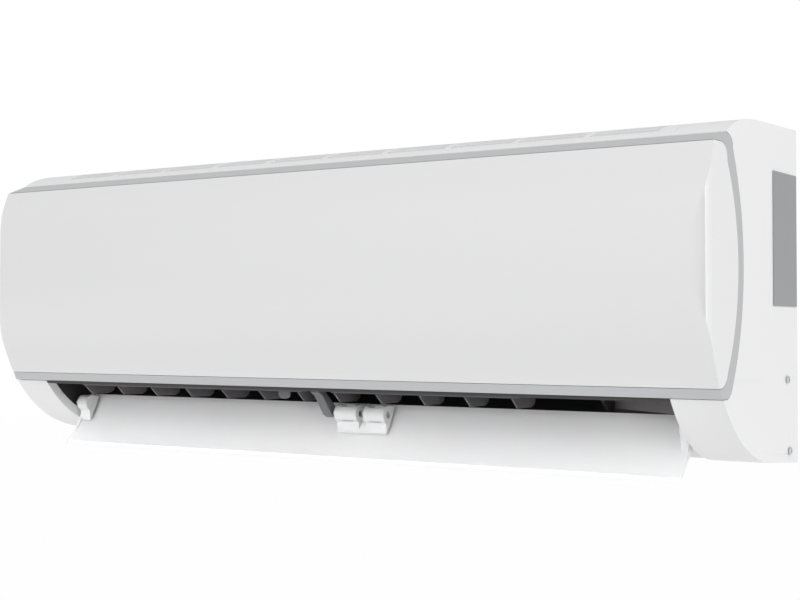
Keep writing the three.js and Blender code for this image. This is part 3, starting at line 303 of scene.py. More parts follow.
def combine(base: bmesh.types.BMesh, how: Combine, *tools: bmesh.types.BMesh) -> bmesh.types.BMesh:
    """Works solids on another, one after the other.

    Args:
        base: the solid that is worked on. It is used up.
        how: join, cut or keep what is common.
        *tools: the solids that work on it. They are used up.

    Returns:
        The result.
    """
    for tool in tools:
        items = [workpiece(base), workpiece(tool)]
        step = items[0].modifiers.new("step", "BOOLEAN")
        step.operation = how.value
        step.solver = "MANIFOLD"
        step.object = items[1]
        graph = bpy.context.evaluated_depsgraph_get()
        base = bmesh.new()
        base.from_mesh(items[0].evaluated_get(graph).to_mesh())
        for item in items:
            mesh = item.data
            bpy.data.objects.remove(item)
            bpy.data.meshes.remove(mesh)
        bmesh.ops.remove_doubles(base, verts=base.verts, dist=0.002)
        bmesh.ops.dissolve_degenerate(base, edges=base.edges, dist=0.002)
    return base


def soften(
    solid: bmesh.types.BMesh,
    width: float,
    segments: int = 2,
    above: float = 40.0,
    where: Callable[[Vector], bool] | None = None,
) -> bmesh.types.BMesh:
    """Rounds the sharp edges of a solid.

    Args:
        solid: what is softened, in place.
        width: how far the rounding reaches from the edge.
        segments: facets of the rounding.
        above: edges that turn less than this, in degrees, stay as they are.
        where: a test on an edge's middle.

    Returns:
        The same solid.
    """
    limit = math.radians(above)
    edges = [
        edge
        for edge in solid.edges
        if len(edge.link_faces) == 2
        and edge.calc_face_angle(0) > limit
        and (where is None or where((edge.verts[0].co + edge.verts[1].co) / 2))
    ]
    bmesh.ops.bevel(
        solid,
        geom=edges,
        offset=width,
        offset_type="OFFSET",
        segments=segments,
        profile=0.5,
        affect="EDGES",
        clamp_overlap=True,
        material=-1,
    )
    return solid


# ---------------------------------------------------------------- finishes


def grain_group() -> bpy.types.NodeTree:
    """The shared effect of a surface's grain: a height, a tone and a sheen mask.

    Returns:
        The node group, made once.
    """
    name = "surface_grain"
    if name in bpy.data.node_groups:
        return bpy.data.node_groups[name]
    tree = bpy.data.node_groups.new(name, "ShaderNodeTree")
    for label, kind in (("Fine Scale", "NodeSocketFloat"), ("Broad Scale", "NodeSocketFloat")):
        tree.interface.new_socket(label, in_out="INPUT", socket_type=kind)
    tree.interface.new_socket("Stretch", in_out="INPUT", socket_type="NodeSocketVector")
    for label in ("Height", "Tone", "Sheen"):
        tree.interface.new_socket(label, in_out="OUTPUT", socket_type="NodeSocketFloat")
    nodes, links = tree.nodes, tree.links
    entry = nodes.new("NodeGroupInput")
    leave = nodes.new("NodeGroupOutput")
    coords = nodes.new("ShaderNodeTexCoord")
    mapping = nodes.new("ShaderNodeMapping")
    links.new(coords.outputs["Object"], mapping.inputs["Vector"])
    links.new(entry.outputs["Stretch"], mapping.inputs["Scale"])
    for label, scale, detail, output in (
        ("fine", "Fine Scale", 2.0, "Height"),
        ("broad", "Broad Scale", 3.0, "Tone"),
        ("middle", "Broad Scale", 6.0, "Sheen"),
    ):
        noise = nodes.new("ShaderNodeTexNoise")
        noise.name = label
        noise.inputs["Detail"].default_value = detail
        links.new(mapping.outputs["Vector"], noise.inputs["Vector"])
        if label == "middle":
            times = nodes.new("ShaderNodeMath")
            times.operation = "MULTIPLY"
            times.inputs[1].default_value = 5.0
            links.new(entry.outputs[scale], times.inputs[0])
            links.new(times.outputs[0], noise.inputs["Scale"])
        else:
            links.new(entry.outputs[scale], noise.inputs["Scale"])
        links.new(noise.outputs["Fac"], leave.inputs[output])
    return tree


@dataclass(frozen=True)
class Finish:
    """A surface finish, with its colour, gloss and grain."""

    name: str
    colour: tuple[float, float, float]
    roughness: float
    metallic: float = 0.0
    grain: Grain = Grain.MOULDED
    fine: float = 1400.0
    broad: float = 9.0
    depth: float = 0.05
    tone: float = 0.03
    coat: float = 0.0
    clear: float = 0.0
    spread: float = 0.05
    coat_roughness: float = 0.24
    bump_distance: float = 0.0002

    def stretch(self) -> tuple[float, float, float]:
        """How the grain is drawn out along the unit."""
        return (0.02, 1.0, 1.0) if self.grain is Grain.BRUSHED else (1.0, 1.0, 1.0)

    def material(self) -> bpy.types.Material:
        """The finish as a material, made once.

        Returns:
            The material.
        """
        if self.name in bpy.data.materials:
            return bpy.data.materials[self.name]
        material = bpy.data.materials.new(self.name)
        material.use_nodes = True
        nodes, links = material.node_tree.nodes, material.node_tree.links
        shader = nodes["Principled BSDF"]
        shader.inputs["Metallic"].default_value = self.metallic
        shader.inputs["Coat Weight"].default_value = self.coat
        shader.inputs["Coat Roughness"].default_value = self.coat_roughness
        shader.inputs["Transmission Weight"].default_value = self.clear
        shader.inputs["IOR"].default_value = 1.5
        effect = nodes.new("ShaderNodeGroup")
        effect.node_tree = grain_group()
        effect.inputs["Fine Scale"].default_value = self.fine
        effect.inputs["Broad Scale"].default_value = self.broad
        effect.inputs["Stretch"].default_value = self.stretch()
        ramp = nodes.new("ShaderNodeMix")
        ramp.data_type = "RGBA"
        light = [min(1.0, c * (1 + self.tone)) for c in self.colour]
        dark = [c * (1 - self.tone) for c in self.colour]
        ramp.inputs[6].default_value = (*dark, 1)
        ramp.inputs[7].default_value = (*light, 1)
        links.new(effect.outputs["Tone"], ramp.inputs[0])
        links.new(ramp.outputs[2], shader.inputs["Base Color"])
        gloss = nodes.new("ShaderNodeMapRange")
        gloss.inputs["To Min"].default_value = max(0.02, self.roughness - self.spread)
        gloss.inputs["To Max"].default_value = min(1.0, self.roughness + self.spread)
        links.new(effect.outputs["Sheen"], gloss.inputs["Value"])
        links.new(gloss.outputs[0], shader.inputs["Roughness"])
        bump = nodes.new("ShaderNodeBump")
        bump.inputs["Strength"].default_value = self.depth
        bump.inputs["Distance"].default_value = self.bump_distance
        links.new(effect.outputs["Height"], bump.inputs["Height"])
        links.new(bump.outputs["Normal"], shader.inputs["Normal"])
        return material


WHITE = Finish("white_moulding", (0.86, 0.86, 0.865), 0.36, broad=3.0, depth=0.04, tone=0.005)
PANEL = Finish(
    "panel_gloss", (0.83, 0.83, 0.835), 0.27, broad=3.0, depth=0.01, tone=0.001, coat=0.3, spread=0.004
)
FRAME = Finish(
    "frame_silver", (0.54, 0.545, 0.555), 0.34, 0.30, fine=2600.0, depth=0.05, tone=0.02, coat=0.15
)
FLAP = Finish("flap_satin", (0.87, 0.87, 0.875), 0.30, broad=3.0, depth=0.02, tone=0.004, spread=0.02)
DARK = Finish("charcoal_moulding", (0.036, 0.034, 0.035), 0.52, depth=0.12, tone=0.12)
SLATE = Finish("slate_moulding", (0.135, 0.128, 0.132), 0.45, depth=0.10, tone=0.08)
GREY = Finish("grey_moulding", (0.17, 0.17, 0.18), 0.42, depth=0.08, tone=0.06)
NATURAL = Finish("natural_nylon", (0.93, 0.94, 0.94), 0.20, depth=0.04, tone=0.01, clear=0.15)
ZINC = Finish("zinc_sheet", (0.62, 0.64, 0.66), 0.34, 0.9, broad=26.0, depth=0.05, tone=0.09, spread=0.12)
FOIL = Finish(
    "plate_foil", (0.42, 0.425, 0.435), 0.33, 0.8, Grain.BRUSHED, fine=2400.0, depth=0.16, tone=0.03
)
STEEL = Finish("ground_steel", (0.60, 0.61, 0.63), 0.26, 1.0, depth=0.08, tone=0.05)
FIN = Finish("fin_stock", (0.72, 0.76, 0.80), 0.36, 0.85, broad=18.0, depth=0.05, tone=0.06)
COPPER = Finish("copper_tube", (0.72, 0.36, 0.21), 0.30, 1.0, broad=22.0, depth=0.06, tone=0.14, spread=0.10)
BRASS = Finish("turned_brass", (0.74, 0.55, 0.24), 0.26, 1.0, depth=0.06, tone=0.06)
RUBBER = Finish("black_rubber", (0.022, 0.022, 0.022), 0.75, depth=0.25, tone=0.15)
RESIN = Finish("motor_resin", (0.62, 0.62, 0.58), 0.5, fine=900.0, depth=0.2, tone=0.05)
BLADES = Finish("fan_moulding", (0.070, 0.073, 0.082), 0.45, depth=0.12, tone=0.08)
BOARD = Finish("solder_mask", (0.02, 0.14, 0.06), 0.35, broad=60.0, depth=0.08, tone=0.15)
NET = Finish("filter_moulding", (0.30, 0.35, 0.41), 0.5, depth=0.10, tone=0.05)
CHASSIS = Finish("chassis_moulding", (0.78, 0.78, 0.775), 0.48, depth=0.14, tone=0.02)


# ---------------------------------------------------------------- making pieces


@dataclass(frozen=True)
class Patch:
    """A part of a piece's surface coloured with another finish, for painted shade or painted light that falls
    there.
    """

    finish: Finish
    low: tuple[float, float, float]
    high: tuple[float, float, float]
    facing: tuple[float, float, float] = (0.0, 0.0, 0.0)

    def covers(self, face: bmesh.types.BMFace) -> bool:
        """Tells if a face lies in the patch.

        Args:
            face: a face, in casing heights and millimetres.

        Returns:
            Whether its middle is inside the limits and it faces the right way.
        """
        middle = face.calc_center_median()
        inside = all(a <= v <= b for a, v, b in zip(self.low, middle, self.high))
        return inside and (not any(self.facing) or face.normal.dot(Vector(self.facing)) > 0.9)


@dataclass
class Workshop:
    """Turns solids into finished pieces that ride on the frame's bodies."""

    smooth_below: float = 50.0
    made: list[str] = field(default_factory=list)

    def lower(self, solid: bmesh.types.BMesh) -> None:
        """Moves a solid from casing heights in millimetres to the frame in metres."""
        bmesh.ops.translate(solid, verts=solid.verts, vec=(0, 0, -DATUM_HEIGHT))
        bmesh.ops.scale(solid, verts=solid.verts, vec=(MM, MM, MM))

    def copy(self, node: str) -> bmesh.types.BMesh:
        """A merged copy of a node's solid, in casing heights and millimetres.

        Args:
            node: the node's name.

        Returns:
            The copy, with its flat facets joined.
        """
        solid = bmesh.new()
        solid.from_mesh(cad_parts[node].data)
        bmesh.ops.scale(solid, verts=solid.verts, vec=(1 / MM, 1 / MM, 1 / MM))
        bmesh.ops.translate(solid, verts=solid.verts, vec=(0, 0, DATUM_HEIGHT))
        bmesh.ops.remove_doubles(solid, verts=solid.verts, dist=0.004)
        bmesh.ops.dissolve_limit(solid, angle_limit=math.radians(0.6), verts=solid.verts, edges=solid.edges)
        return solid

    def finish(
        self,
        name: str,
        solid: bmesh.types.BMesh,
        finish: Finish,
        body: str,
        slot: str,
        nodes: Sequence[str] = (),
        patch: Patch | None = None,
    ) -> bpy.types.Object:
        """Dresses a solid and hangs it on its body.

        Args:
            name: the piece's name.
            solid: its shape, in casing heights and millimetres. It is used up.
            finish: its surface.
            body: the body it rides on.
            slot: the record's material slot; not used.
            nodes: the nodes that it stands for.
            patch: a part of the surface with another finish, for painted shade or painted light.

        Returns:
            The piece.
        """
        limit = math.radians(self.smooth_below)
        for face in solid.faces:
            face.material_index = int(patch is not None and patch.covers(face))
        self.lower(solid)
        for face in solid.faces:
            face.smooth = True
        for edge in solid.edges:
            edge.smooth = len(edge.link_faces) == 2 and edge.calc_face_angle(0) < limit
        mesh = bpy.data.meshes.new(name)
        solid.to_mesh(mesh)
        solid.free()
        piece = bpy.data.objects.new(name, mesh)
        bpy.context.scene.collection.objects.link(piece)
        mesh.materials.append(finish.material())
        if patch:
            mesh.materials.append(patch.finish.material())
        weigh = piece.modifiers.new("even shading", "WEIGHTED_NORMAL")
        weigh.keep_sharp = True
        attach(piece, body)
        if nodes:
            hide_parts(*nodes)
        self.made.append(name)
        LOG.info("%s rides on %s", name, body)
        return piece

    def refine(
        self,
        node: str,
        finish: Finish,
        body: str,
        slot: str,
        width: float,
        segments: int = 2,
        patch: Patch | None = None,
    ) -> None:
        """Replaces a node by a copy with softened edges and round shading.

        Args:
            node: the node.
            finish: its surface.
            body: the body it rides on.
            slot: the record's material slot.
            width: how far each edge is rounded; 0 leaves the edges.
            segments: facets of the rounding.
            patch: a part of the surface with another finish, for painted shade or painted light.
        """
        solid = self.copy(node)
        if width:
            soften(solid, width, segments)
        self.finish(f"{node}_fine", solid, finish, body, slot, [node], patch)


# ---------------------------------------------------------------- the white mouldings


@dataclass
class Body:
    """Outlines that the casing, panel, frame and grille share."""

    half_length: float = 400.0
    draft: float = 0.05
    back: float = -2.0
    top: float = 289.4
    wall: float = 2.5
    gap: float = 0.4
    corner: float = 15.0
    corner_easing: float = 7.0
    corner_power: float = 2.35
    corner_steps: int = 20
    underside: tuple[Point, Point, Point] = ((-74, 5.5), (-134, 13.5), (-169, 60.5))
    shoulder: tuple[Point, Point, Point] = ((-160.8, 270.4), (-138, 286), (-92, 287))
    belly_centre: Point = (0.5, 174)
    belly_radius: float = 204.86
    seam_centre: Point = (-331.5, 167)
    seam_radius: float = 205.0
    frame_centre: Point = (-302, 165.5)
    frame_radius: float = 164.7
    frame_top: float = 261.0
    frame_bottom: float = 70.0
    panel_bottom: float = 61.8
    lip_height: float = 0.8
    seam_heights: Span = (72.0, 258.0)
    seam_foot: Span = (-163.2, -155.6)
    seam_top_corner: Point = (-146.6, 267.5)
    hinge: Point = (-166, 261.5)
    roll: float = 9.2
    pin: float = 1.5
    ear_x: float = 366.0
    ear_width: float = 4.0
    outlet_half: float = 347.5
    screw_places: tuple[Point, ...] = ((-24, 12), (-29, 73))
    fine: int = 26

    def within(self, solid: bmesh.types.BMesh, less: float = 0.0) -> bmesh.types.BMesh:
        """What of a solid lies inside the plan, which an inset makes smaller."""
        return combine(solid, Combine.COMMON, self.plan_solid(less))

    def end_at(self, y: float, less: float) -> float:
        """Half the length at a depth, less an inset."""
        return self.half_length + self.draft * y - less

    def plan(self, less: float) -> Outline:
        """Plan of the outside: leaning ends and round front corners.

        Args:
            less: how far inside the outer surface.

        Returns:
            The outline in (x, depth).
        """
        front = self.belly_centre[0] - self.belly_radius + less
        radius = self.corner - less
        side = self.end_at(front, less)
        reach = radius + self.corner_easing
        right = []
        for i in range(self.corner_steps + 1):
            turn = math.pi / 2 * i / self.corner_steps
            x = side - reach + reach * math.cos(turn) ** (2 / self.corner_power)
            right.append((x, front + radius - radius * math.sin(turn) ** (2 / self.corner_power)))
        left = [(-x, y) for x, y in reversed(right)]
        return [(self.end_at(0, less), 0.0), *right, *left, (-self.end_at(0, less), 0.0)]

    def plan_solid(self, less: float) -> bmesh.types.BMesh:
        """The plan as a tall solid."""
        return plan_bar(self.plan(less), -50, 350)

    def seam(self, gap: float) -> Outline:
        """Line where the casing meets the panel's frame.

        Args:
            gap: how far it is moved forwards; 0 for the casing's own edge.

        Returns:
            The line in (depth, height), from the bottom up.
        """
        radius = self.seam_radius - gap
        foot = self.panel_bottom if gap else self.underside[2][1] + self.lip_height
        low, high = [(on_circle(self.seam_centre, radius, z, 1), z) for z in self.seam_heights]
        corner = (self.seam_top_corner[0] - 1.5 * gap, self.seam_top_corner[1] - 1.5 * gap)
        roll = arc(self.hinge, self.roll + (0 if gap else 0.6), 20, 58, 1)[1]
        return [
            *curve((self.seam_foot[0], foot), (self.seam_foot[1] - 1.3 * gap, foot), low, 10),
            *arc_between(self.seam_centre, radius, (low[1] + 2, high[1] - 2), 1, self.fine),
            *curve(high, corner, roll, 12),
        ]

    def casing(self) -> Outline:
        """Outer outline of the casing.

        Returns:
            The outline in (depth, height).
        """
        return [
            (self.back, 0.0),
            *curve(*self.underside, self.fine),
            (self.underside[2][0], self.underside[2][1] + self.lip_height),
            *self.seam(0),
            *curve(*self.shoulder, 16),
            (self.back, self.top),
        ]

    def casing_hollow(self) -> Outline:
        """Inner outline of the casing.

        Returns:
            The outline in (depth, height).
        """
        lip = self.underside[2][1] + self.lip_height - self.wall
        lower = offset_path(curve(*self.underside, self.fine), -self.wall)
        shoulder = offset_path(curve(*self.shoulder, 16), -self.wall)
        inner = self.seam_radius + self.wall
        return [
            (self.back, self.wall),
            *[p for p in lower if p[1] < lip - 4],
            (self.underside[2][0] + 5.5, lip),
            (on_circle(self.seam_centre, inner, 66, 1), lip),
            *arc_between(self.seam_centre, inner, (66, 256), 1, self.fine),
            (self.seam_top_corner[0] + 2.8, 264),
            (self.seam_top_corner[0] + 0.6, 270.5),
            *[p for p in shoulder if p[0] > self.seam_top_corner[0] - 2],
            (self.back, self.top - self.wall),
        ]

    def belly(self) -> Outline:
        """Outer outline of the panel with its frame.

        Returns:
            The outline in (depth, height).
        """
        front = arc_between(self.belly_centre, self.belly_radius, (self.frame_top, self.frame_bottom), -1, 40)
        top = arc(self.hinge, self.roll, 58, 63, 1)[1]
        return [*self.seam(self.gap), top, *front, (-172, self.panel_bottom)]

    def belly_hollow(self) -> Outline:
        """Inner outline of the panel, open to the back.

        Returns:
            The outline in (depth, height).
        """
        low = self.panel_bottom + self.wall
        high = self.frame_top - 1.8
        front = arc_between(self.belly_centre, self.belly_radius - self.wall, (low, high), -1, 40)
        return [(-100, low), *front, (-162, self.frame_top + 5.3), (-100, self.frame_top + 5.3)]

    def panel_zone(self, gap: float) -> bmesh.types.BMesh:
        """What lies in front of the frame's inner edge, which has round corners.

        Args:
            gap: how far inside that edge.

        Returns:
            The zone as a solid.
        """
        low = self.frame_bottom + gap
        high = self.frame_top - gap
        radius = self.frame_radius - gap
        back = arc_between(self.frame_centre, radius, (84, 247), 1, self.fine)
        bottom = curve((-176, low), (-163.5, low + 0.6), back[0], 8)
        top = curve(back[-1], (-158.5, high - 1), (-172, high), 8)
        return side_bar([(-230, low), *bottom, *back[1:-1], *top, (-230, high)], -BEYOND, BEYOND)


@dataclass
class WhiteCasing:
    """The wrap-round casing with its outlet rims, hinge ears and filter rail."""

    body: Body
    shop: Workshop
    window: float = 372.0
    window_top: float = 252.0
    outlet_top: float = 58.6
    flange_depth: float = 9.0
    flange_wall: float = 2.5
    rail_half: float = 374.0
    screw_hole: float = 2.1
    screw_span: Span = (380.0, 410.0)

    def shell(self) -> bmesh.types.BMesh:
        """The casing's wall before its openings are cut.

        Returns:
            The hollow shell.
        """
        body = self.body
        outer = body.within(side_bar(body.casing(), -BEYOND, BEYOND))
        inner = body.within(side_bar(body.casing_hollow(), -BEYOND, BEYOND), body.wall)
        return combine(outer, Combine.CUT, inner)

    def flange(self, side: int) -> bmesh.types.BMesh:
        """The rim at one end of the outlet.

        Args:
            side: 1 for the right end, -1 for the left.

        Returns:
            The rim.
        """
        body = self.body
        edge = curve(*body.underside, body.fine)
        band = [*edge, *reversed(offset_path(edge, -self.flange_depth))]
        near = side * body.outlet_half
        top = block((-BEYOND, BEYOND), (-200, -60), (0, body.panel_bottom - 1))
        return combine(side_bar(band, near, near + side * self.flange_wall), Combine.COMMON, top)

    def rail(self) -> bmesh.types.BMesh:
        """The rail above the filters."""
        outline = [(-146, 262), (-146, 253), (-157, 243), (-165.3, 243), (-165.3, 249), (-158, 250.5)]
        return side_bar([*outline, (-150, 256.5)], -self.rail_half, self.rail_half)

    def ear(self, side: int) -> bmesh.types.BMesh:
        """The ear and pin that carry one end of the panel.

        Args:
            side: 1 for the right end, -1 for the left.

        Returns:
            The ear with its pin.
        """
        body = self.body
        outline = [(-146, 253), (-157, 243.5), (-168, 258), (-168, 262.2), (-167, 263.2), (-165, 263.2)]
        outline += [(-163.6, 262.2), (-156, 255)]
        half = body.ear_width / 2
        web = side_bar(outline, side * (body.ear_x - half), side * (body.ear_x + half))
        pin = rod(body.hinge, body.pin, side * (body.ear_x - 0.5), side * (body.ear_x - 8), 20)
        return combine(web, Combine.JOIN, pin)

    def build(self) -> None:
        """Makes the casing."""
        body = self.body
        lip = body.underside[2][1] + 0.9
        half = body.outlet_half
        fittings = [self.flange(1), self.flange(-1), self.rail(), self.ear(1), self.ear(-1)]
        shell = combine(self.shell(), Combine.JOIN, *fittings)
        window = block((-self.window, self.window), (-190, -100), (lip, self.window_top))
        cuts = [
            body.within(block((-BEYOND, BEYOND), (-5.5, 10), (-20, 283.5)), body.wall),
            body.within(window, body.wall),
            block((-half, half), (-220, 10), (-20, self.outlet_top)),
            block((-half, half), (-152, 10), (-20, 70)),
            block((-half, half), (-155.5, -34), (262, 300)),
        ]
        near, far = self.screw_span
        for side in (-1, 1):
            cuts += [rod(c, self.screw_hole, side * near, side * far, 20) for c in body.screw_places]
        shell = combine(shell, Combine.CUT, *cuts)
        soften(shell, 0.45)
        for side in (-1, 1):
            geometry = [*shell.verts, *shell.edges, *shell.faces]
            bmesh.ops.bisect_plane(shell, geom=geometry, plane_co=(side * half, 0, 0), plane_no=(1, 0, 0))
        # Painted shadow: the casing lip's front face under the frame is coloured charcoal for the frame's
        # shade falling on it.
        rim = Patch(DARK, (-half + 0.2, -175, 58), (half - 0.2, -150, lip + 0.5))
        self.shop.finish("casing_shell", shell, WHITE, "casing", "white_plastic", ["front_casing"], rim)


@dataclass
class FrontPanel:
    """The bowed gloss panel and the silver frame round it."""

    body: Body
    shop: Workshop
    ear_offset: float = 6.0
    ear_thickness: float = 3.0
    end_width_from: float = 374.0
    under_half: float = 372.0

    def shell(self) -> bmesh.types.BMesh:
        """Panel and frame in one hollow shell.

        Returns:
            The hollow shell.
        """
        body = self.body
        outer = body.within(side_bar(body.belly(), -BEYOND, BEYOND))
        inner = body.within(side_bar(body.belly_hollow(), -BEYOND, BEYOND), body.wall)
        low = body.panel_bottom
        under = block((-self.under_half, self.under_half), (-166, -100), (low - 5, low + 6))
        swing = block((-self.end_width_from, self.end_width_from), (-157.5, -100), (257, 275))
        return combine(outer, Combine.CUT, inner, under, swing)

    def ear(self, side: int) -> bmesh.types.BMesh:
        """The eye that hangs one end of the panel on its pin.

        Args:
            side: 1 for the right end, -1 for the left.

        Returns:
            The eye.
        """
        body = self.body
        outline = [(-183, 257), (-188, 248), (-180, 246), (-163, 257.5), (-162.4, 261.4), (-163.4, 263.5)]
        outline += [(-166, 264.2), (-172, 262)]
        centre = side * (body.ear_x - self.ear_offset)
        thick = self.ear_thickness
        web = side_bar(outline, centre - thick / 2, centre + thick / 2)
        bore = rod(body.hinge, body.pin + body.gap, centre - thick, centre + thick, 20)
        return combine(web, Combine.CUT, bore)

    def build(self) -> None:
        """Makes the panel and its frame."""
        body = self.body
        panel = combine(self.shell(), Combine.COMMON, body.panel_zone(0.2))
        panel = combine(panel, Combine.JOIN, self.ear(1), self.ear(-1))
        soften(panel, 0.35, above=50)
        self.shop.finish("panel_bowed", panel, PANEL, "panel", "gloss_white", ["front_panel"])
        surround = combine(self.shell(), Combine.CUT, body.panel_zone(-0.2))
        soften(surround, 0.35, above=50)
        self.shop.finish("panel_surround", surround, FRAME, "panel", "silver_paint", ["panel_frame"])


@dataclass
class TopGrille:
    """The air intake on top, a skin with rows of narrow slots."""

    body: Body
    shop: Workshop
    columns: int = 10
    rib: float = 6.0
    pitch: float = 7.4
    slat: float = 2.0
    margin: float = 12.0
    front: float = -151.0
    rear: float = -40.0

    def build(self) -> None:
        """Makes the grille."""
        body = self.body
        half = body.outlet_half
        skin = combine(
            side_bar(body.casing(), -half + body.gap, half - body.gap),
            Combine.CUT,
            side_bar(body.casing_hollow(), -BEYOND, BEYOND),
        )
        span = block((-BEYOND, BEYOND), (-155.5 + body.gap, -34 - body.gap), (262, 300))
        skin = combine(skin, Combine.COMMON, span)
        width = 2 * (half - self.margin) / self.columns
        slots = []
        rows = int((self.rear - self.front) / self.pitch)
        for i in range(self.columns):
            left = -half + self.margin + i * width + self.rib / 2
            across = (left, left + width - self.rib)
            for row in range(rows):
                near = self.front + row * self.pitch
                slots.append(block(across, (near, near + self.pitch - self.slat), (255, 300)))
        skin = combine(skin, Combine.CUT, gather(slots))
        soften(skin, 0.35, 1, above=60)
        self.shop.finish("grille_slatted", skin, WHITE, "casing", "white_plastic", ["intake_grille"])


# ---------------------------------------------------------------- flap, vanes and outlet


@dataclass
class Flap:
    """The long louver flap, open a quarter turn, with its bush and centre clip."""

    body: Body
    shop: Workshop
    pivot: Point = (-121, 36)
    open_angle: float = 90.0
    half: float = 345.6
    thickness: float = 2.6
    front: Point = (-163, 56.2)
    rear: Point = (-113, 18.4)
    control: Point = (-142.5, 28.5)
    shaft: float = 3.0
    lug: float = 6.0

    def opened(self, outline: Outline) -> Outline:
        """An outline of the closed flap, turned to its open place.

        Args:
            outline: corners in (depth, height), with the flap closed.

        Returns:
            The turned corners.
        """
        turn = Matrix.Rotation(math.radians(self.open_angle), 2)
        centre = Vector(self.pivot)
        return [tuple(centre + turn @ (Vector(p) - centre)) for p in outline]

    def blade(self) -> Outline:
        """Section of the closed flap, with round edges.

        Returns:
            The outline in (depth, height).
        """
        outer = curve(self.front, self.control, self.rear, 28)
        thick = self.thickness
        inner = curve(
            (self.front[0] + 2.6, self.front[1] + 0.2),
            (self.control[0] + thick * 0.72, self.control[1] + thick * 0.9),
            (self.rear[0] + 0.6, self.rear[1] + 2.2),
            28,
        )
        return [*outer, *reversed(inner)]

    def build(self) -> None:
        """Makes the flap and the fittings on it."""
        parts = []
        cap = [(-160, 56), (-150, 45), (-141, 40.5), (-127, 33), (-112.5, 24), (-113, 19.8), (-142.5, 31.5)]
        for x in (-self.half + 0.15, self.half - 2.55):
            parts.append(side_bar(self.opened(rounded(cap, {0: 2, 4: 1.5}, 4)), x, x + 2.4))
        lug = [(-140.5, 36.5), *arc(self.pivot, self.lug, 150, 20, 16), (-113, 23.2), (-127, 28.5)]
        parts.append(side_bar(self.opened(lug), self.half - 7, self.half - 2))
        blade = combine(side_bar(self.opened(self.blade()), -self.half, self.half), Combine.JOIN, *parts)
        bore = rod(self.pivot, self.shaft + self.body.gap + 0.05, 330, 360, 24)
        blade = combine(blade, Combine.CUT, bore)
        soften(blade, 0.5, 3, above=45)
        self.shop.finish("flap_blade", blade, FLAP, "flap", "white_plastic", ["louver_flap"])
        self.shop.refine("flap_bush_left", NATURAL, "flap", "natural_plastic", 0.5)
        self.shop.refine("flap_centre_clip", NATURAL, "flap", "natural_plastic", 0.4)
        self.shop.refine("flap_motor_shaft", SLATE, "flap", "dark_plastic", 0.3)


@dataclass
class Outlet:
    """The dark outlet duct with its vanes, links, arm and flap drive."""

    shop: Workshop
    vanes: int = 12

    def build(self) -> None:
        """Makes the pieces round the air outlet."""
        shop = self.shop
        # Painted light: the duct's end wall faces that look front-left are coloured slate, lighter than the
        # charcoal duct, for the light falling on them.
        lit_end_wall = Patch(SLATE, (266, -150, 20), (348, -88, 66), (-0.57, -0.82, 0.0))
        shop.refine("outlet_duct", DARK, "casing", "dark_plastic", 0.3, 1, lit_end_wall)
        for i in range(1, self.vanes + 1):
            shop.refine(f"vane_{i}", SLATE, f"swing_vane_{i}", "dark_plastic", 0.35)
        shop.refine("vane_link_left", GREY, "link_left", "grey_plastic", 0.3)
        shop.refine("vane_link_right", GREY, "link_right", "grey_plastic", 0.3)
        for node, finish, slot, width in (
            ("flap_pin_left", SLATE, "dark_plastic", 0.3),
            ("flap_support_arm", GREY, "grey_plastic", 0.5),
            ("flap_motor", RESIN, "white_plastic", 0.6),
            ("drain_plug", RUBBER, "black_rubber", 0.5),
            ("display_module", DARK, "dark_plastic", 0.6),
        ):
            shop.refine(node, finish, "casing", slot, width)


# ---------------------------------------------------------------- inner pieces


@dataclass
class Filters:
    """Two curved filters: a moulded frame with windows over a fine net."""

    shop: Workshop
    centre: Point = (0.5, 174)
    radius: float = 184.1
    low: float = 96.0
    high: float = 240.0
    pitch: float = 3.4
    strand: float = 0.5

    def net(self, x0: float, x1: float) -> bmesh.types.BMesh:
        """The net between two places along the unit.

        Args:
            x0: first place.
            x1: last place.

        Returns:
            Upright and level strands.
        """
        half = self.strand / 2
        levels = arc_between(self.centre, self.radius, (self.low, self.high), -1, 8)
        strip = [*offset_path(levels, half), *reversed(offset_path(levels, -half))]
        strands = []
        count = int((x1 - x0) / self.pitch)
        for i in range(1, count):
            x = x0 + i * self.pitch
            strands.append(side_bar(strip, x - half, x + half))
        rows = int((self.high - self.low) / self.pitch)
        for i in range(1, rows):
            z = self.low + i * self.pitch
            y = on_circle(self.centre, self.radius, z, -1)
            strands.append(block((x0, x1), (y - half, y + half), (z - half, z + half)))
        return gather(strands)

    def build(self) -> None:
        """Makes both filters."""
        for side, x0, x1 in (("left", -367.0, -2.0), ("right", 2.0, 367.0)):
            node = f"air_filter_{side}"
            self.shop.refine(node, NET, "casing", "filter_blue", 0.3, 1)
            self.shop.finish(f"filter_net_{side}", self.net(x0, x1), NET, "casing", "filter_blue")


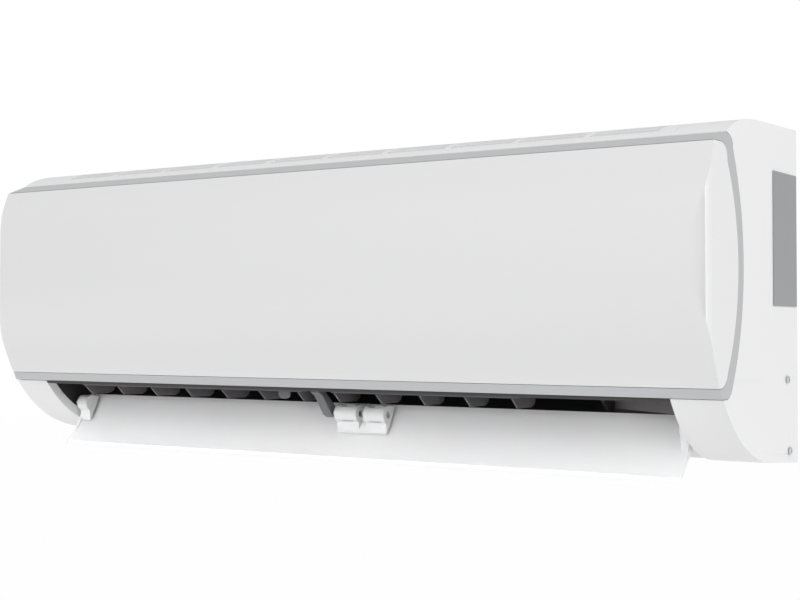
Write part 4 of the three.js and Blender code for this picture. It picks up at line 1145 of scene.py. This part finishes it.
@dataclass
class Coil:
    """Fin blocks, end plates with return bends, and the tubes through them."""

    shop: Workshop
    x: Span = (-326.0, 238.0)
    thickness: float = 24.0
    pitch: float = 2.0
    fin: float = 0.35
    tube: float = 3.5
    tube_shares: tuple[float, ...] = (-0.38, -0.13, 0.13, 0.38)
    corners: tuple[tuple[str, Point, Point], ...] = (
        ("coil_front_lower", (-158, 72), (-158, 157.5)),
        ("coil_front_upper", (-158, 172), (-115.5, 239.8)),
        ("coil_rear", (-73.8, 243.9), (-28.8, 183.9)),
    )

    def build(self) -> None:
        """Makes the coil."""
        for node, start, end in self.corners:
            along = (Vector(end) - Vector(start)).normalized()
            inward = Vector((along.y, -along.x)) * self.thickness
            outline = [start, end, tuple(Vector(end) + inward), tuple(Vector(start) + inward)]
            count = int((self.x[1] - self.x[0]) / self.pitch)
            fins = []
            for i in range(count + 1):
                x = self.x[0] + i * self.pitch
                fins.append(side_bar(outline, x, x + self.fin))
            middle = tuple((Vector(start) + Vector(end) + inward) / 2)
            length = (Vector(end) - Vector(start)).length
            for share in self.tube_shares:
                place = Vector(middle) + along * share * length
                fins.append(rod(tuple(place), self.tube, *self.x, 10))
            self.shop.finish(f"{node}_fins", gather(fins), FIN, "casing", "fin_aluminium", [node])
        for side in ("left", "right"):
            self.shop.refine(f"coil_end_{side}", COPPER, "casing", "copper", 0.0)


@dataclass
class Fan:
    """The cross-flow fan with its curved blades, shafts, motor and bearing."""

    shop: Workshop
    centre: Point = (-82, 112)
    radius: float = 46.0
    inner: float = 35.0
    x: Span = (-338.0, 252.0)
    blades: int = 35
    rings: int = 9
    ring: float = 2.4
    blade: float = 1.1
    blade_steps: int = 6
    blade_sweep: float = 15.0
    hub: float = 9.0
    shaft: float = 4.3

    def blade_outline(self, angle: float) -> Outline:
        """Section of one blade, swept forwards to its tip.

        Args:
            angle: the blade's place round the fan, in degrees.

        Returns:
            The outline in (depth, height).
        """
        steps = self.blade_steps
        path = []
        for i in range(steps + 1):
            share = i / steps
            reach = self.inner + (self.radius - 0.6 - self.inner) * share
            path.append(arc(self.centre, reach, angle + self.blade_sweep * share**1.6, angle, 1)[0])
        return [*offset_path(path, self.blade / 2), *reversed(offset_path(path, -self.blade / 2))]

    def build(self) -> None:
        """Makes the fan and its drive."""
        low, high = self.x
        parts = []
        for i in range(self.blades):
            parts.append(side_bar(self.blade_outline(360 * i / self.blades), low + 1, high - 1))
        pitch = (high - low - self.ring) / (self.rings - 1)
        for i in range(self.rings):
            x = low + i * pitch
            disc = rod(self.centre, self.radius, x, x + self.ring, 72)
            hole = self.inner - 2 if 0 < i < self.rings - 1 else self.shaft
            parts.append(combine(disc, Combine.CUT, rod(self.centre, hole, x - 1, x + self.ring + 1, 48)))
        for start, end in ((high - 22, high - 1), (low + 1, low + 14)):
            hub = rod(self.centre, self.hub, start, end, 32)
            parts.append(combine(hub, Combine.CUT, rod(self.centre, self.shaft, start - 1, end + 1, 32)))
        self.shop.finish("fan_bladed", gather(parts), BLADES, "fan", "fan_grey", ["crossflow_fan"])
        self.shop.refine("fan_stub_shaft", STEEL, "fan", "bright_steel", 0.4)
        self.shop.refine("motor_shaft", STEEL, "fan", "bright_steel", 0.4)
        self.shop.refine("fan_bearing", RUBBER, "casing", "black_rubber", 0.6)
        self.shop.refine("fan_motor", RESIN, "casing", "motor_resin", 2.0, 3)
        self.shop.refine("motor_strap", ZINC, "casing", "zinc_steel", 0.4)


@dataclass
class Services:
    """Pipes, control box and what is in it."""

    shop: Workshop

    def build(self) -> None:
        """Makes the pipework and controls."""
        for node, finish, slot, width in (
            ("gas_pipe", COPPER, "copper", 0.0),
            ("liquid_pipe", COPPER, "copper", 0.0),
            ("gas_flare_nut", BRASS, "brass", 0.6),
            ("liquid_flare_nut", BRASS, "brass", 0.6),
            ("pipe_clamp", DARK, "dark_plastic", 0.5),
            ("control_box", RESIN, "motor_resin", 0.5),
            ("control_box_cover", RESIN, "motor_resin", 0.5),
            ("control_board", BOARD, "board_green", 0.3),
            ("terminal_block", DARK, "dark_plastic", 0.4),
        ):
            self.shop.refine(node, finish, "casing", slot, width)


@dataclass
class BackOfUnit:
    """The wall plate, the rear chassis, the bare plate and the side screws."""

    body: Body
    shop: Workshop
    seat: float = 0.45
    head: float = 3.2
    head_height: float = 1.6
    recess_depth: float = 0.7
    shank: float = 1.7

    def screw(self, side: int, centre: Point) -> bmesh.types.BMesh:
        """A pan-head screw with a cross recess.

        Args:
            side: 1 for the right end, -1 for the left.
            centre: (depth, height) of its axis.

        Returns:
            The screw.
        """
        face = self.body.end_at(centre[0], 0)
        near = side * (face + self.seat)
        head = rod(centre, self.head, near, near + side * self.head_height, 32)
        soften(head, 0.7, 3, where=lambda p: side * p.x > face + self.seat + 1)
        y, z = centre
        floor = self.head_height - self.recess_depth
        span = tuple(sorted((near + side * floor, near + side * 3)))
        level = block(span, (y - 1.7, y + 1.7), (z - 0.3, z + 0.3))
        upright = block(span, (y - 0.3, y + 0.3), (z - 1.7, z + 1.7))
        head = combine(head, Combine.CUT, level, upright)
        shank = rod(centre, self.shank, side * (face - 9), near + side * 0.5, 16)
        return combine(head, Combine.JOIN, shank)

    def build(self) -> None:
        """Makes the pieces at the back and the ends."""
        shop = self.shop
        shop.refine("mounting_plate", ZINC, "casing", "zinc_steel", 0.35, 1)
        # Painted shade: the white chassis round the fan bay is coloured charcoal where it lies in shade
        # behind the outlet.
        shaded_scroll = Patch(DARK, (-345, -112, 27), (270, -38, 110))
        shop.refine("rear_chassis", CHASSIS, "casing", "white_plastic", 0.3, 1, shaded_scroll)
        shop.refine("rating_plate", FOIL, "casing", "silver_foil", 0.0)
        for side, word in ((1, "right"), (-1, "left")):
            for i, centre in enumerate(self.body.screw_places):
                node = f"side_screw_{word}_{i + 1}"
                shop.finish(f"{node}_cross", self.screw(side, centre), ZINC, "casing", "zinc_steel", [node])


# ---------------------------------------------------------------- studio


@dataclass
class Studio:
    """Floor, world, lamps and camera."""

    floor_height: float = -1.3
    eye: tuple[float, float, float] = (0.736, -1.181, -0.033)
    right: tuple[float, float, float] = (0.8452, 0.5344, 0.0)
    pitch: float = 1.19
    lens: float = 60.75
    world_light: float = 0.70
    floor_half: float = 14.0
    floor_glow: float = 0.98

    def camera(self) -> None:
        """Sets the camera where the photograph was taken from."""
        data = bpy.data.cameras.new("camera")
        data.lens = self.lens
        data.sensor_width = 36.0
        camera = bpy.data.objects.new("camera", data)
        bpy.context.scene.collection.objects.link(camera)
        across = Vector(self.right).normalized()
        level = Vector((-across.y, across.x, 0))
        tilt = math.radians(self.pitch)
        ahead = level * math.cos(tilt) + Vector((0, 0, math.sin(tilt)))
        up = across.cross(ahead)
        basis = Matrix((across, up, -ahead)).transposed().to_4x4()
        camera.matrix_world = Matrix.Translation(self.eye) @ basis
        bpy.context.scene.camera = camera

    def camera_rays(self, tree: bpy.types.NodeTree) -> bpy.types.NodeSocket:
        """A mask of the rays that see the backdrop directly or in a mirror or glass.

        Args:
            tree: the node tree it goes in.

        Returns:
            The mask's socket.
        """
        path = tree.nodes.new("ShaderNodeLightPath")
        most = path.outputs["Is Camera Ray"]
        for name in ("Is Glossy Ray", "Is Transmission Ray"):
            either = tree.nodes.new("ShaderNodeMath")
            either.operation = "MAXIMUM"
            tree.links.new(most, either.inputs[0])
            tree.links.new(path.outputs[name], either.inputs[1])
            most = either.outputs[0]
        return most

    def world(self) -> None:
        """A white surround that lights the object softly."""
        world = bpy.data.worlds.new("surround")
        bpy.context.scene.world = world
        world.use_nodes = True
        tree = world.node_tree
        strength = tree.nodes.new("ShaderNodeMapRange")
        strength.inputs["To Min"].default_value = self.world_light
        strength.inputs["To Max"].default_value = 1.0
        path = tree.nodes.new("ShaderNodeLightPath")
        tree.links.new(path.outputs["Is Camera Ray"], strength.inputs["Value"])
        background = tree.nodes["Background"]
        background.inputs["Color"].default_value = (1, 1, 1, 1)
        tree.links.new(strength.outputs[0], background.inputs["Strength"])

    def floor(self) -> None:
        """A plain white floor that keeps the object's shadow."""
        solid = bmesh.new()
        bmesh.ops.create_grid(solid, x_segments=1, y_segments=1, size=self.floor_half)
        bmesh.ops.translate(solid, verts=solid.verts, vec=(0, 0, self.floor_height))
        mesh = bpy.data.meshes.new("floor")
        solid.to_mesh(mesh)
        solid.free()
        floor = bpy.data.objects.new("floor", mesh)
        bpy.context.scene.collection.objects.link(floor)
        material = bpy.data.materials.new("floor_white")
        material.use_nodes = True
        tree = material.node_tree
        shader = tree.nodes["Principled BSDF"]
        shader.inputs["Base Color"].default_value = (0.9, 0.9, 0.9, 1)
        shader.inputs["Roughness"].default_value = 0.9
        shader.inputs["Specular IOR Level"].default_value = 0.1
        glow = tree.nodes.new("ShaderNodeEmission")
        glow.inputs["Strength"].default_value = 1.0
        share = tree.nodes.new("ShaderNodeMath")
        share.operation = "MULTIPLY"
        share.inputs[1].default_value = self.floor_glow
        tree.links.new(self.camera_rays(tree), share.inputs[0])
        mix = tree.nodes.new("ShaderNodeMixShader")
        tree.links.new(share.outputs[0], mix.inputs[0])
        tree.links.new(shader.outputs[0], mix.inputs[1])
        tree.links.new(glow.outputs[0], mix.inputs[2])
        tree.links.new(mix.outputs[0], tree.nodes["Material Output"].inputs["Surface"])
        mesh.materials.append(material)

    def lamp(
        self, name: str, place: tuple, target: tuple, size: Span, power: float, spread: float = 180.0
    ) -> None:
        """A soft rectangular lamp.

        Args:
            name: its name.
            place: where it stands.
            target: what it points at.
            size: its width and height.
            power: its power in watts.
            spread: how wide it shines, in degrees.
        """
        data = bpy.data.lights.new(name, "AREA")
        data.shape = "RECTANGLE"
        data.size, data.size_y = size
        data.energy = power
        data.spread = math.radians(spread)
        lamp = bpy.data.objects.new(name, data)
        lamp.location = place
        lamp.visible_camera = False
        lamp.visible_glossy = spread == 180.0
        lamp.rotation_euler = (Vector(target) - Vector(place)).to_track_quat("-Z", "Y").to_euler()
        bpy.context.scene.collection.objects.link(lamp)

    def build(self) -> None:
        """Sets the stage."""
        self.camera()
        self.world()
        self.floor()
        self.lamp("front", (-0.6, -3.2, 0.9), (0, 0, 0), (4.0, 2.6), 13)
        self.lamp("low", (-1.6, -1.8, -1.0), (-0.3, -0.1, -0.1), (2.0, 1.2), 2)
        self.lamp("side", (3.0, -1.0, 0.8), (0.3, 0, 0), (2.6, 2.6), 30)
        self.lamp("strip", (-0.1, -0.75, 0.06), (-0.1, -0.125, -0.165), (0.95, 0.05), 0.125, 12)
        self.lamp("top", (0, -0.8, 2.6), (0, 0, 0), (4.0, 3.0), 5)
        bpy.context.scene.view_settings.view_transform = "Standard"


def main() -> None:
    """Builds every piece in order, the stage last."""
    logging.basicConfig(level=logging.INFO, format="%(message)s")
    shop = Workshop()
    body = Body()
    WhiteCasing(body, shop).build()
    FrontPanel(body, shop).build()
    TopGrille(body, shop).build()
    Flap(body, shop).build()
    Outlet(shop).build()
    Filters(shop).build()
    Coil(shop).build()
    Fan(shop).build()
    Services(shop).build()
    BackOfUnit(body, shop).build()
    Studio().build()
    LOG.info("%d pieces made", len(shop.made))


if __name__ == "__main__":
    main()
